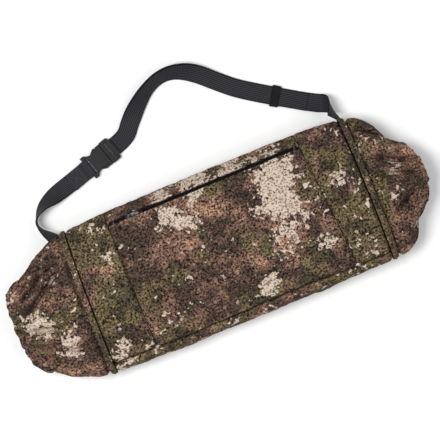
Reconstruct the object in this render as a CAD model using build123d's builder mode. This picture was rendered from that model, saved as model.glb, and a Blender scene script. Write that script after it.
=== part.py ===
"""Insulated hand warmer muff with a zipped front pocket and a buckled waist strap.

The muff lies on its back. +X runs along the hand tunnel, +Y points to the edge that carries
the zip and the strap, and +Z points up, out of the pocket's face. The origin is on the surface
it lies on, under the middle of the muff. All sizes are in millimetres.
"""

from build123d import *
from math import atan, cos, radians, sin, sqrt, tan
import os

os.makedirs("parts", exist_ok=True)

# ---------------------------------------------------------------- driving dimensions
# Muff body: an oval tube between the two cuff seams
panel_length = 404.0
panel_half_width = 105.0
panel_half_height = 35.0
fleece = 2.6
batting = 6.0
lining_wall = 1.8
layer_gap = 0.2
bottom_seam_y = -94.5
pocket_left = -128.0
pocket_right = 152.0
bag_wall = 1.0
bag_margin = 9.0

# Seam welts between the panels and the cuffs
welt_width = 8.0
welt_rise = 1.5
welt_flat = 0.4

# Cuffs: lengths from seam to mouth, then half width, half height and wall at each station
cuff_left_length = 106.0
cuff_right_length = 86.0
cuff_middle = (84.0, 32.0)
cuff_casing = (62.0, 29.0)
cuff_mouth = (48.0, 25.0)
cuff_wall_middle = 9.0
cuff_wall_casing = 5.0
cuff_wall_mouth = 4.0
cuff_middle_share = 0.42
casing_width = 28.0
casing_drop = 5.5
mouth_drop = 8.5
elastic_width = 20.0
elastic_wall = 1.8
elastic_clearance = 0.2

# Zip along the top of the pocket
zip_y = 85.0
zip_margin = 2.0
zip_opening = 10.0
tape_half_width = 11.0
tape_wall = 0.6
tape_depth = 3.6
coil_width = 2.3
coil_height = 1.8
coil_slit = 1.8
stop_length = 3.0
stop_height = 2.3
stop_width = 7.2
stop_margin = 4.0
stop_corner = 0.8
recess_clearance = 0.9
recess_side = 1.5

# Zip slider and its pull
slider_length = 9.0
slider_width = 8.4
slider_plate = 1.1
slider_gap = 0.3
slider_bridge_width = 1.2
slider_bridge_length = 3.0
slider_flange = 0.8
slider_corner = 1.4
slider_bridge_corner = 0.5
slider_bridge_inset = 0.4
slider_flange_inset = 1.5
slider_x = -99.0
lug_wall = 0.8
lug_length = 2.6
lug_x = 2.0
lug_clearance = 0.15
pin_radius = 0.5
pin_clearance = 0.08
pull_length = 20.0
pull_width = 4.6
pull_wall = 1.2
pull_eye_radius = 1.1
pull_hole_radius = 1.2
pull_hole_margin = 3.6
pull_corner = 1.6

# Webbing
web_width = 25.4
web_wall = 1.6
web_z = 2.2
web_layer_gap = 0.1
web_fit = 0.4

# Strap slide, which holds the two layers of the long strap together
slide_length = 12.0
slide_side = 1.7
slide_wall = 1.1
slide_pad_height = 0.6
slide_pad_gap = 1.2
slide_pad_side = 2.5
slide_pad_end = 1.2
slide_pad_corner = 0.8
slide_corner = 1.2
slide_clearance = 0.3
slide_x = 150.0

# Side release buckle, in its own frame along the strap
buckle_centre = (-105.0, 175.0)
buckle_angle = 18.0
buckle_height = 8.0
buckle_wall = 1.5
female_back = -23.0
female_mouth = 9.0
female_flare = -17.0
female_waist_start = 5.0
female_waist_end = 11.0
female_waist_rise = 0.4
female_waist_turn = 0.6
female_rim = 0.5
catch_x = 3.0
cavity_back = -13.0
bar_width = 2.8
bar_height = 2.2
bar_bottom = 3.3
bar_clearance = 0.2
slot_width = 4.6
male_front = 9.4
male_back = 23.0
male_inset = 0.4
male_corner = 2.0
male_rim = 0.6
cut_past = 1.0
guide_half_width = 2.0
guide_tip = -8.0
prong_tip = -8.5
prong_width = 3.0
prong_height = 4.2
prong_root_radius = 1.6
prong_root_margin = 0.6
prong_root_clearance = 0.15
socket_clearance = 0.2
socket_side = 0.8
prong_nose = 2.0
prong_nose_offset = 0.6
prong_tip_offset = 2.2
prong_tip_width = 3.2
ear_length = 4.0
ear_clearance = 0.4
ear_notch = 1.8
ear_notch_depth = 1.4
ear_notch_floor = 0.4

# How far parts of the buckle reach past the webbing's edge, or short of it if negative
female_side = 4.8
female_waist_side = -0.1
mouth_side = 3.7
cavity_side = 1.7
male_side = 4.5
prong_root_side = -3.1
ear_side = 4.1
catch_side = 3.2

# Webbing folded round the buckle's bars
fold_end = 30.0
stitched_overlap = 22.0
short_end_gap = 1.5
fold_radius = 1.2
short_fold_level = 3.0
short_fold_drop = 9.0
short_fold_radius = 2.0
long_fold_level = 1.5
long_fold_drop = 4.5
long_fold_radius = 1.6
long_fold_end_radius = 1.0

# Ways out of the seams: the slots that the strap ends are sewn into
slot_clearance = 0.3
slot_reach = 40.0

# Centre lines of the two straps, from the muff to the buckle
short_route = [
    (-204.5, 101.5, 36.5),
    (-211.0, 116.0, 29.5),
    (-218.0, 129.0, 12.0),
    (-207.0, 142.0, web_z),
    (-185.0, 151.0, web_z),
]
long_route = [
    (211.0, 102.4, 36.5),
    (216.0, 115.0, 28.5),
    (212.0, 127.0, 9.0),
    (197.0, 133.0, web_z),
    (112.0, 186.8, web_z),
    (86.0, 209.5, web_z),
    (60.0, 234.5, web_z),
    (37.0, 246.5, web_z),
    (14.0, 248.5, web_z),
    (-9.0, 240.0, web_z),
    (-31.0, 223.5, web_z),
    (-50.0, 204.5, web_z),
]
tail_share = 0.9
fold_lead = 16.0

# ---------------------------------------------------------------- derived sizes and places
overall_length = cuff_left_length + panel_length + cuff_right_length
seam_left = cuff_left_length - overall_length / 2
seam_right = seam_left + panel_length
core_z = panel_half_height + welt_rise - welt_flat
batting_inset = fleece + bag_wall + 2 * layer_gap
lining_inset = batting_inset + batting + layer_gap
tunnel_inset = lining_inset + lining_wall

zip_sine = sqrt(1 - (zip_y / panel_half_width) ** 2)
zip_z = core_z + panel_half_height * zip_sine
zip_tilt = atan(panel_half_height * zip_y / (panel_half_width**2 * zip_sine))
zip_left = pocket_left + zip_margin
zip_right = pocket_right - zip_margin
zip_normal = (0, sin(zip_tilt), cos(zip_tilt))
tape_low_y = zip_y - tape_half_width * cos(zip_tilt) - (tape_depth + tape_wall) * sin(zip_tilt)
opening_low_y = zip_y - zip_opening / 2 * cos(zip_tilt) - tape_depth * sin(zip_tilt)
opening_high_y = zip_y + zip_opening / 2 * cos(zip_tilt)
coil_bottom = -tape_depth
coil_top = coil_bottom + coil_height
plate_top = coil_top + slider_gap + slider_plate
plate_bottom = -tape_depth - tape_wall - slider_gap - slider_plate
zip_recess_depth = -plate_bottom + recess_clearance
coil_left = zip_left + stop_margin + stop_length
coil_right = zip_right - stop_margin - stop_length
pin_z = plate_top + pull_eye_radius + slider_gap
pull_x = slider_x + lug_x

web_half = web_width / 2
web_channel = web_width + 2 * web_fit
female_half_width = web_half + female_side
female_waist_half_width = web_half + female_waist_side
mouth_half_width = web_half + mouth_side
cavity_half_width = web_half + cavity_side
male_half_width = web_half + male_side
prong_root_y = web_half + prong_root_side
ear_half_width = web_half + ear_side
catch_half_width = web_half + catch_side
ear_front = catch_x - ear_clearance
upper_web_z = web_z + web_wall + web_layer_gap
fold_high_z = bar_bottom + bar_height + bar_clearance + web_wall / 2
buckle_plane = Plane(
    origin=(buckle_centre[0], buckle_centre[1], 0),
    x_dir=(cos(radians(buckle_angle)), sin(radians(buckle_angle)), 0),
    z_dir=(0, 0, 1),
)


def section_plane(x, z=core_z):
    """Plane across the muff at x, with its local x along +Y and its local y along +Z."""
    return Plane(origin=(x, 0, z), x_dir=(0, 1, 0), z_dir=(1, 0, 0))


def zip_plane(x, depth=0.0):
    """Plane tangent to the muff on the zip's line, moved out of the fabric by depth."""
    origin = (x, zip_y + depth * zip_normal[1], zip_z + depth * zip_normal[2])
    return Plane(origin=origin, x_dir=(1, 0, 0), z_dir=zip_normal)


def oval_ring(outer_inset, inner_inset):
    """Adds the ring between two insets of the muff's oval to the sketch."""
    Ellipse(panel_half_width - outer_inset, panel_half_height - outer_inset)
    Ellipse(panel_half_width - inner_inset, panel_half_height - inner_inset, mode=Mode.SUBTRACT)


def keep_front(low_y, high_y):
    """Keeps the part of the sketch on the pocket's side between two places across the muff."""
    with Locations(((low_y + high_y) / 2, panel_half_height)):
        Rectangle(high_y - low_y, 2 * panel_half_height, mode=Mode.INTERSECT)


def in_buckle(x, y, z):
    """World point of a point in the buckle's frame."""
    return buckle_plane.from_local_coords((x, y, z))


def corner_radii(points, name):
    """Arc radii for a route: 0.45 of the shorter run over the tangent of half the turn."""
    radii = []
    for before, here, after in zip(points, points[1:], points[2:]):
        run_in = Vector(here) - Vector(before)
        run_out = Vector(after) - Vector(here)
        half_turn = radians(run_in.get_angle(run_out)) / 2
        radii.append(0.45 * min(run_in.length, run_out.length) / tan(half_turn))
    print(name, "radii:", [round(radius, 1) for radius in radii])
    return radii


# ---------------------------------------------------------------- straps
def webbing(points, radii):
    """Sweeps flat webbing from the buckle, where it lies level, along a route.

    Returns the length of the route's line.
    """
    with BuildLine() as route:
        FilletPolyline(*points, radius=radii)
    path = route.wires()[0]
    level_across = (path % 0).cross(Vector(0, 0, 1))
    with BuildSketch(Plane(origin=path @ 0, x_dir=level_across, z_dir=path % 0)) as section:
        Rectangle(web_width, web_wall)
    sweep(section.sketch, path=path)
    return path.length


short_end = female_back - short_end_gap
short_points = [in_buckle(short_end, 0, web_z), in_buckle(short_end - fold_lead, 0, web_z)]
short_points += short_route[::-1]
with BuildPart() as strap_short:
    short_length = webbing(short_points, corner_radii(short_points, "short strap"))
strap_short.part.label = "strap_short"
export_step(strap_short.part, "parts/strap_short.step")

long_points = [in_buckle(fold_end, 0, web_z), in_buckle(fold_end + fold_lead, 0, web_z)]
long_points += long_route[::-1]
with BuildPart() as strap_long:
    long_length = webbing(long_points, corner_radii(long_points, "long strap"))
strap_long.part.label = "strap_long"
export_step(strap_long.part, "parts/strap_long.step")

tail_start, tail_end = Vector(long_route[4]), Vector(long_route[3])
tail_tip = tail_start + (tail_end - tail_start) * tail_share
layer_rise = Vector(0, 0, upper_web_z - web_z)
shared_points = [Vector(point) + layer_rise for point in long_points if point not in long_route[:4]]
return_points = shared_points + [tail_tip + layer_rise]
with BuildPart() as strap_return:
    return_length = webbing(return_points, corner_radii(return_points, "return layer"))
strap_return.part.label = "strap_return"
export_step(strap_return.part, "parts/strap_return.step")

web_section = web_width * web_wall
for piece, length in (
    (strap_short, short_length),
    (strap_long, long_length),
    (strap_return, return_length),
):
    print(piece.part.label, "length", round(length, 1), "volume", round(piece.part.volume, 1),
          "section x length", round(web_section * length, 1))


def webbing_fold(points, radii):
    """Sweeps webbing that is folded round a bar, in the buckle's upright middle plane."""
    with BuildLine() as route:
        FilletPolyline(*[in_buckle(x, 0, z) for x, z in points], radius=radii)
    path = route.wires()[0]
    with BuildSketch(Plane(origin=path @ 0, x_dir=buckle_plane.y_dir, z_dir=path % 0)) as section:
        Rectangle(web_width, web_wall)
    sweep(section.sketch, path=path)


female_slot = female_back + bar_width + slot_width / 2
with BuildPart() as strap_short_fold:
    webbing_fold(
        [
            (short_end, web_z),
            (female_slot, web_z),
            (female_slot, fold_high_z),
            (female_back - short_fold_level, fold_high_z),
            (female_back - short_fold_drop, upper_web_z),
            (female_back - short_fold_drop - stitched_overlap, upper_web_z),
        ],
        [fold_radius, fold_radius, short_fold_radius, short_fold_radius],
    )
strap_short_fold.part.label = "strap_short_fold"
export_step(strap_short_fold.part, "parts/strap_short_fold.step")

male_slot = male_back - bar_width - slot_width / 2
with BuildPart() as strap_long_fold:
    webbing_fold(
        [
            (fold_end, web_z),
            (male_slot, web_z),
            (male_slot, fold_high_z),
            (male_back + long_fold_level, fold_high_z),
            (male_back + long_fold_drop, upper_web_z),
            (fold_end, upper_web_z),
        ],
        [fold_radius, fold_radius, long_fold_radius, long_fold_end_radius],
    )
strap_long_fold.part.label = "strap_long_fold"
export_step(strap_long_fold.part, "parts/strap_long_fold.step")

slide_direction = (Vector(long_route[3]) - Vector(long_route[4])).normalized()
slide_share = (slide_x - tail_start.X) / slide_direction.X
slide_origin = tail_start + slide_direction * slide_share
slide_plane = Plane(
    origin=(slide_origin.X, slide_origin.Y, 0), x_dir=slide_direction, z_dir=(0, 0, 1)
)
slide_inner_low = slide_wall
slide_inner_high = upper_web_z + web_wall / 2 + slide_clearance
with BuildPart() as strap_slide:
    slide_width = web_channel + 2 * slide_side
    with BuildSketch(slide_plane):
        RectangleRounded(slide_length, slide_width, slide_corner)
    extrude(amount=slide_inner_high + slide_wall)
    with BuildSketch(slide_plane.offset(slide_inner_low)):
        Rectangle(2 * slide_length, web_channel)
    extrude(amount=slide_inner_high - slide_inner_low, mode=Mode.SUBTRACT)
    pad_width = (slide_width - slide_pad_gap) / 2 - slide_pad_side
    with BuildSketch(slide_plane.offset(slide_inner_high + slide_wall)):
        with Locations(
            (0, (pad_width + slide_pad_gap) / 2), (0, -(pad_width + slide_pad_gap) / 2)
        ):
            RectangleRounded(slide_length - 2 * slide_pad_end, pad_width, slide_pad_corner)
    extrude(amount=slide_pad_height)
strap_slide.part.label = "strap_slide"
export_step(strap_slide.part, "parts/strap_slide.step")


def strap_slot(strap, root):
    """Cuts the slot that a strap's sewn end lies in out of the current part."""
    end_face = strap.faces().sort_by_distance(root)[0]
    width_edge = end_face.edges().sort_by(SortBy.LENGTH)[-1]
    inward = end_face.normal_at()
    end_plane = Plane(origin=end_face.center(), x_dir=width_edge % 0, z_dir=inward)
    with BuildSketch(end_plane.offset(slot_clearance)) as slot:
        Rectangle(web_width + 2 * slot_clearance, web_wall + 2 * slot_clearance)
    extrude(slot.sketch, amount=-slot_reach, mode=Mode.SUBTRACT)


# ---------------------------------------------------------------- fleece panels
with BuildPart() as back_panel:
    with BuildSketch(section_plane(seam_left)):
        oval_ring(0, fleece)
        with BuildLine():
            Polyline(
                (-2 * panel_half_width, -2 * panel_half_height),
                (2 * panel_half_width, -2 * panel_half_height),
                (2 * panel_half_width, 0),
                (bottom_seam_y, 0),
                (bottom_seam_y, 2 * panel_half_height),
                (-2 * panel_half_width, 2 * panel_half_height),
                close=True,
            )
        make_face(mode=Mode.INTERSECT)
    extrude(amount=panel_length)
    strap_slot(strap_long, long_route[0])
back_panel.part.label = "back_panel"
export_step(back_panel.part, "parts/back_panel.step")

with BuildPart() as front_left_panel:
    with BuildSketch(section_plane(seam_left)):
        oval_ring(0, fleece)
        keep_front(bottom_seam_y, panel_half_width)
    extrude(amount=pocket_left - seam_left)
front_left_panel.part.label = "front_left_panel"
export_step(front_left_panel.part, "parts/front_left_panel.step")

with BuildPart() as front_right_panel:
    with BuildSketch(section_plane(pocket_right)):
        oval_ring(0, fleece)
        keep_front(bottom_seam_y, panel_half_width)
    extrude(amount=seam_right - pocket_right)
    strap_slot(strap_long, long_route[0])
front_right_panel.part.label = "front_right_panel"
export_step(front_right_panel.part, "parts/front_right_panel.step")

with BuildPart() as pocket_panel:
    with BuildSketch(section_plane(pocket_left)):
        oval_ring(0, fleece)
        keep_front(bottom_seam_y, opening_low_y)
    extrude(amount=pocket_right - pocket_left)
pocket_panel.part.label = "pocket_panel"
export_step(pocket_panel.part, "parts/pocket_panel.step")

with BuildPart() as upper_strip:
    with BuildSketch(section_plane(pocket_left)):
        oval_ring(0, fleece)
        keep_front(opening_high_y, panel_half_width)
    extrude(amount=pocket_right - pocket_left)
upper_strip.part.label = "upper_strip"
export_step(upper_strip.part, "parts/upper_strip.step")

# ---------------------------------------------------------------- pocket bag, batting and lining
with BuildPart() as pocket_bag:
    with BuildSketch(section_plane(pocket_left + bag_margin)):
        oval_ring(fleece + layer_gap, fleece + layer_gap + bag_wall)
        keep_front(bottom_seam_y + bag_margin, tape_low_y - layer_gap)
    extrude(amount=pocket_right - pocket_left - 2 * bag_margin)
pocket_bag.part.label = "pocket_bag"
export_step(pocket_bag.part, "parts/pocket_bag.step")

with BuildPart() as batting_front:
    with BuildSketch(section_plane(seam_left)):
        oval_ring(batting_inset, batting_inset + batting)
        keep_front(-panel_half_width, panel_half_width)
    extrude(amount=panel_length)
    with BuildSketch(zip_plane((zip_left + zip_right) / 2, -zip_recess_depth)):
        Rectangle(zip_right - zip_left + 2 * zip_margin, 2 * (tape_half_width + recess_side))
    extrude(amount=2 * zip_recess_depth, mode=Mode.SUBTRACT)
batting_front.part.label = "batting_front"
export_step(batting_front.part, "parts/batting_front.step")

with BuildPart() as batting_back:
    with BuildSketch(section_plane(seam_left)):
        oval_ring(batting_inset, batting_inset + batting)
        with Locations((0, -panel_half_height)):
            Rectangle(2 * panel_half_width, 2 * panel_half_height, mode=Mode.INTERSECT)
    extrude(amount=panel_length)
batting_back.part.label = "batting_back"
export_step(batting_back.part, "parts/batting_back.step")

with BuildPart() as lining:
    with BuildSketch(section_plane(seam_left)):
        oval_ring(lining_inset, tunnel_inset)
    extrude(amount=panel_length)
lining.part.label = "lining"
export_step(lining.part, "parts/lining.step")


# ---------------------------------------------------------------- cuffs, elastics and welts
def cuff_station(side, distance, half_size, drop, inset):
    """Returns the cuff's oval at a distance from its seam, with its half sizes less an inset."""
    seam = seam_left if side < 0 else seam_right
    with BuildSketch(section_plane(seam + side * distance, core_z - drop)) as station:
        Ellipse(half_size[0] - inset, half_size[1] - inset)
    return station.sketch


def casing_station(length, from_mouth):
    """Half sizes, drop and wall of the straight-sided casing at a distance from the mouth."""
    share = from_mouth / casing_width
    half_size = tuple(m + share * (c - m) for m, c in zip(cuff_mouth, cuff_casing))
    drop = mouth_drop + share * (casing_drop - mouth_drop)
    wall = cuff_wall_mouth + share * (cuff_wall_casing - cuff_wall_mouth)
    return length - from_mouth, half_size, drop, wall


def casing_loft(side, length, start, end, outward, mode):
    """Lofts the casing between two distances from the mouth.

    It reaches outward of the casing's inner face, or to the outer face if outward is None.
    """
    stations = []
    for from_mouth in (start, end):
        distance, half_size, drop, wall = casing_station(length, from_mouth)
        inset = 0 if outward is None else wall - outward
        stations.append(cuff_station(side, distance, half_size, drop, inset))
    loft(stations, ruled=True, mode=mode)


def cuff_body(side, length):
    """Builds a gathered cuff from its seam to its mouth in the current part."""
    seam_size = (panel_half_width, panel_half_height)
    middle = length * cuff_middle_share
    for mode, walls in (
        (Mode.ADD, (0, 0, 0)),
        (Mode.SUBTRACT, (tunnel_inset, cuff_wall_middle, cuff_wall_casing)),
    ):
        body = [
            cuff_station(side, 0, seam_size, 0, walls[0]),
            cuff_station(side, middle, cuff_middle, casing_drop / 2, walls[1]),
            cuff_station(side, length - casing_width, cuff_casing, casing_drop, walls[2]),
        ]
        loft(body, ruled=True, mode=mode)
    casing_loft(side, length, casing_width, 0, None, Mode.ADD)
    casing_loft(side, length, casing_width, 0, 0, Mode.SUBTRACT)


for side, length, name, strap, root in (
    (-1, cuff_left_length, "left", strap_short, short_route[0]),
    (1, cuff_right_length, "right", strap_long, long_route[0]),
):
    far_edge = (casing_width + elastic_width) / 2
    near_edge = (casing_width - elastic_width) / 2
    with BuildPart() as cuff:
        cuff_body(side, length)
        casing_loft(
            side,
            length,
            far_edge + elastic_clearance,
            near_edge - elastic_clearance,
            elastic_wall + elastic_clearance,
            Mode.SUBTRACT,
        )
        strap_slot(strap, root)
    cuff.part.label = f"cuff_{name}"
    export_step(cuff.part, f"parts/cuff_{name}.step")

    with BuildPart() as elastic:
        casing_loft(side, length, far_edge, near_edge, elastic_wall, Mode.ADD)
        casing_loft(side, length, far_edge, near_edge, 0, Mode.SUBTRACT)
    elastic.part.label = f"elastic_{name}"
    export_step(elastic.part, f"parts/elastic_{name}.step")

    with BuildPart() as welt:
        seam = seam_left if side < 0 else seam_right
        with BuildSketch(section_plane(seam)):
            oval_ring(-welt_rise, -layer_gap)
            with Locations((0, panel_half_height)):
                Rectangle(
                    3 * panel_half_width, 2 * (core_z + panel_half_height), mode=Mode.INTERSECT
                )
        extrude(amount=side * welt_width)
        strap_slot(strap, root)
    welt.part.label = f"welt_{name}"
    export_step(welt.part, f"parts/welt_{name}.step")

# ---------------------------------------------------------------- zip
for sign, name in ((1, "upper"), (-1, "lower")):
    tape_width = tape_half_width - coil_slit / 2
    with BuildPart() as zip_tape:
        with BuildSketch(zip_plane((zip_left + zip_right) / 2, -tape_depth - tape_wall)):
            with Locations((0, sign * (coil_slit / 2 + tape_width / 2))):
                Rectangle(zip_right - zip_left, tape_width)
        extrude(amount=tape_wall)
    zip_tape.part.label = f"zip_tape_{name}"
    export_step(zip_tape.part, f"parts/zip_tape_{name}.step")

    with BuildPart() as zip_coil:
        with BuildSketch(zip_plane((coil_left + coil_right) / 2, coil_bottom)):
            with Locations((0, sign * (coil_slit / 2 + coil_width / 2))):
                Rectangle(coil_right - coil_left, coil_width)
        extrude(amount=coil_height)
        outer_edge = zip_coil.edges().filter_by(Axis.X).group_by(Axis.Z)[-1]
        fillet(outer_edge, radius=coil_height / 4)
    zip_coil.part.label = f"zip_coil_{name}"
    export_step(zip_coil.part, f"parts/zip_coil_{name}.step")

for stop_x, name in (
    (zip_left + stop_margin + stop_length / 2, "left"),
    (zip_right - stop_margin - stop_length / 2, "right"),
):
    with BuildPart() as zip_stop:
        with BuildSketch(zip_plane(stop_x, coil_bottom)):
            RectangleRounded(stop_length, stop_width, stop_corner)
        extrude(amount=stop_height)
    zip_stop.part.label = f"zip_stop_{name}"
    export_step(zip_stop.part, f"parts/zip_stop_{name}.step")

with BuildPart() as zip_slider:
    for low in (plate_bottom, plate_top - slider_plate):
        with BuildSketch(zip_plane(slider_x, low)):
            RectangleRounded(slider_length, slider_width, slider_corner)
        extrude(amount=slider_plate)
    with BuildSketch(zip_plane(slider_x, plate_bottom + slider_plate)):
        with Locations((-(slider_length - slider_bridge_length) / 2 + slider_bridge_inset, 0)):
            RectangleRounded(slider_bridge_length, slider_bridge_width, slider_bridge_corner)
    extrude(amount=plate_top - plate_bottom - 2 * slider_plate)
    with BuildSketch(zip_plane(slider_x, plate_top - slider_plate)):
        with Locations(
            (0, (slider_width - slider_flange) / 2), (0, -(slider_width - slider_flange) / 2)
        ):
            Rectangle(slider_length - 2 * slider_flange_inset, slider_flange)
    extrude(amount=-(coil_height - slider_gap))
    lug_height = pin_z + pull_eye_radius - plate_top
    lug_y = pull_width / 2 + lug_clearance + lug_wall / 2
    with BuildSketch(zip_plane(pull_x, plate_top)):
        with Locations((0, lug_y), (0, -lug_y)):
            Rectangle(lug_length, lug_wall)
    extrude(amount=lug_height)
    pin_start = zip_plane(pull_x, pin_z).from_local_coords((0, -lug_y, 0))
    pin_axis = zip_plane(pull_x).y_dir
    with BuildSketch(Plane(origin=pin_start, x_dir=(1, 0, 0), z_dir=pin_axis)):
        Circle(pin_radius)
    extrude(amount=2 * lug_y)
zip_slider.part.label = "zip_slider"
export_step(zip_slider.part, "parts/zip_slider.step")

with BuildPart() as zip_pull:
    eye_start = zip_plane(pull_x, pin_z).from_local_coords((0, -pull_width / 2, 0))
    with BuildSketch(Plane(origin=eye_start, x_dir=(1, 0, 0), z_dir=zip_plane(pull_x).y_dir)):
        Circle(pull_eye_radius)
        with Locations((pull_length / 2, 0)):
            Rectangle(pull_length, pull_wall)
    extrude(amount=pull_width)
    with BuildSketch(zip_plane(pull_x + pull_length - pull_hole_margin, pin_z - pull_wall)):
        Circle(pull_hole_radius)
    extrude(amount=2 * pull_wall, mode=Mode.SUBTRACT)
    corners = zip_pull.edges().filter_by(Axis((0, 0, 0), zip_normal)).sort_by(Axis.X)[-2:]
    fillet(corners, radius=pull_corner)
    with BuildSketch(Plane(origin=eye_start, x_dir=(1, 0, 0), z_dir=zip_plane(pull_x).y_dir)):
        Circle(pin_radius + pin_clearance)
    extrude(amount=pull_width, mode=Mode.SUBTRACT)
zip_pull.part.label = "zip_pull"
export_step(zip_pull.part, "parts/zip_pull.step")


# ---------------------------------------------------------------- buckle
middle_z = buckle_height / 2
with BuildPart() as buckle_female:
    with BuildSketch(buckle_plane):
        with BuildLine():
            Line((female_back, female_half_width), (female_back, 0))
            Line((female_flare, female_half_width), (female_back, female_half_width))
            Spline(
                (female_flare, female_half_width),
                (female_flare + female_waist_start, female_waist_half_width + female_waist_turn),
                (female_flare + female_waist_end, female_waist_half_width),
                (catch_x, female_waist_half_width + female_waist_rise),
            )
            Polyline(
                (catch_x, female_waist_half_width + female_waist_rise),
                (catch_x, mouth_half_width),
                (female_mouth, mouth_half_width),
                (female_mouth, 0),
            )
            mirror(about=Plane.XZ)
        make_face()
    extrude(amount=buckle_height)
    top_and_bottom = buckle_female.edges().group_by(Axis.Z)
    chamfer(top_and_bottom[-1] + top_and_bottom[0], length=female_rim)
    # Room for the webbing round the bar, above and below it and in the slot behind it
    slot_end = female_back + bar_width + slot_width
    for low, high in ((0, bar_bottom), (bar_bottom + bar_height, buckle_height)):
        with BuildSketch(buckle_plane.offset(low)):
            with Locations(((female_back + slot_end) / 2 - cut_past, 0)):
                Rectangle(slot_end - female_back + 2 * cut_past, web_channel)
        extrude(amount=high - low, mode=Mode.SUBTRACT)
    with BuildSketch(buckle_plane):
        with Locations((slot_end - slot_width / 2, 0)):
            Rectangle(slot_width, web_channel)
    extrude(amount=buckle_height, mode=Mode.SUBTRACT)
    with BuildSketch(buckle_plane.offset(buckle_wall)):
        with Locations(((cavity_back + female_mouth) / 2 + cut_past, 0)):
            Rectangle(female_mouth - cavity_back + 2 * cut_past, 2 * cavity_half_width)
    extrude(amount=buckle_height - 2 * buckle_wall, mode=Mode.SUBTRACT)
buckle_female.part.label = "buckle_female"
export_step(buckle_female.part, "parts/buckle_female.step")

hinge_x = male_front + prong_root_radius + prong_root_margin
with BuildPart() as buckle_male:
    with BuildSketch(buckle_plane.offset(male_inset)):
        with Locations(((male_front + male_back) / 2, 0)):
            RectangleRounded(male_back - male_front, 2 * male_half_width, male_corner)
    extrude(amount=buckle_height - 2 * male_inset)
    rims = buckle_male.edges().group_by(Axis.Z)
    fillet(rims[-1] + rims[0], radius=male_rim)
    slot_start = male_back - bar_width - slot_width
    for low, high in ((0, bar_bottom), (bar_bottom + bar_height, buckle_height)):
        with BuildSketch(buckle_plane.offset(low)):
            with Locations(((male_back + slot_start) / 2 + cut_past, 0)):
                Rectangle(male_back - slot_start + 2 * cut_past, web_channel)
        extrude(amount=high - low, mode=Mode.SUBTRACT)
    with BuildSketch(buckle_plane):
        with Locations((slot_start + slot_width / 2, 0)):
            Rectangle(slot_width, web_channel)
    extrude(amount=buckle_height, mode=Mode.SUBTRACT)
    # Middle guide that keeps the halves in line
    with BuildSketch(buckle_plane.offset(middle_z - prong_height / 2)):
        with Locations(((guide_tip + male_front + cut_past) / 2, 0)):
            Rectangle(male_front + cut_past - guide_tip, 2 * guide_half_width)
    extrude(amount=prong_height)
    # Sockets for the prongs' flexing roots
    with BuildSketch(buckle_plane.offset(middle_z - prong_height / 2 - socket_clearance)):
        with Locations((hinge_x, prong_root_y), (hinge_x, -prong_root_y)):
            Circle(prong_root_radius + prong_root_clearance)
        with Locations((male_front, prong_root_y), (male_front, -prong_root_y)):
            Rectangle(2 * (hinge_x - male_front), prong_width + 2 * socket_side)
    extrude(amount=prong_height + 2 * socket_clearance, mode=Mode.SUBTRACT)
buckle_male.part.label = "buckle_male"
export_step(buckle_male.part, "parts/buckle_male.step")

for sign, name in ((1, "left"), (-1, "right")):
    arm_inner = prong_root_y - prong_width / 2
    arm_outer = prong_root_y + prong_width / 2
    with BuildPart() as prong:
        with BuildSketch(buckle_plane.offset(middle_z - prong_height / 2)):
            with BuildLine():
                Polyline(
                    (hinge_x, sign * arm_inner),
                    (prong_tip + prong_nose, sign * (arm_inner + prong_nose_offset)),
                    (prong_tip, sign * (arm_inner + prong_tip_offset)),
                    (prong_tip + prong_nose / 2, sign * (ear_half_width - prong_tip_width)),
                    (ear_front - ear_length, sign * ear_half_width),
                    (ear_front, sign * catch_half_width),
                    (ear_front, sign * (arm_outer + ear_notch_depth)),
                    (ear_front - ear_notch, sign * (arm_outer + ear_notch_floor)),
                    (ear_front + ear_notch_depth, sign * arm_outer),
                    (hinge_x, sign * arm_outer),
                    close=True,
                )
            make_face()
            with Locations((hinge_x, sign * prong_root_y)):
                Circle(prong_root_radius)
        extrude(amount=prong_height)
    prong.part.label = f"prong_{name}"
    export_step(prong.part, f"parts/prong_{name}.step")
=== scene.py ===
"""Looks of the insulated hand warmer muff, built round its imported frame.

Places come from the frame's nodes. Sizes named here are in millimetres and are turned to metres
where a mesh is made. Angles round the muff start at the edge that carries the zip and the strap
and go up over the pocket's face.
"""

import logging
import math
from collections.abc import Callable, Sequence
from dataclasses import dataclass, field
from enum import Enum

import bmesh
import bpy
import numpy as np
from mathutils import Matrix, Vector, noise
from mathutils.kdtree import KDTree


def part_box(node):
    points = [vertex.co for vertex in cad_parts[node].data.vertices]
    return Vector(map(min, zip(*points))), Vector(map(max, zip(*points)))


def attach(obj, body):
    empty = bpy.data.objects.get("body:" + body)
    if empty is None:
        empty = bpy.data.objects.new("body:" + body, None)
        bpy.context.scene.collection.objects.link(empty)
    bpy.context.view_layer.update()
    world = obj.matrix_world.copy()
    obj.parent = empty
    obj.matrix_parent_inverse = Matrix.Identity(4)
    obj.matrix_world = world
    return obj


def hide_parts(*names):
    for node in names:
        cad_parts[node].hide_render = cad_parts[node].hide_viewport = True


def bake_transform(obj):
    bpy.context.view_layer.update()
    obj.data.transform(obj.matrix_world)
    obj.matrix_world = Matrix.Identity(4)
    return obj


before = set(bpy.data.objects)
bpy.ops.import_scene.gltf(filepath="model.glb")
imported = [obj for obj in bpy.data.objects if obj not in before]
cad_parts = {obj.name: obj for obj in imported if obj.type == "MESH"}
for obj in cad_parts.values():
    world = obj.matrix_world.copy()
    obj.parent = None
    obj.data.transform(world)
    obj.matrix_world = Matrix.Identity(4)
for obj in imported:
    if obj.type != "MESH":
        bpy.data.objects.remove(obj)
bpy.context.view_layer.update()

MM = 0.001
BUCKLE_TURN = 18.0
BUCKLE_PLACE = (-105.0, 175.0)
NOISE = "ShaderNodeTexNoise"
RANGE = "ShaderNodeMapRange"
MIX = "ShaderNodeMix"
MATHS = "ShaderNodeMath"
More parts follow.
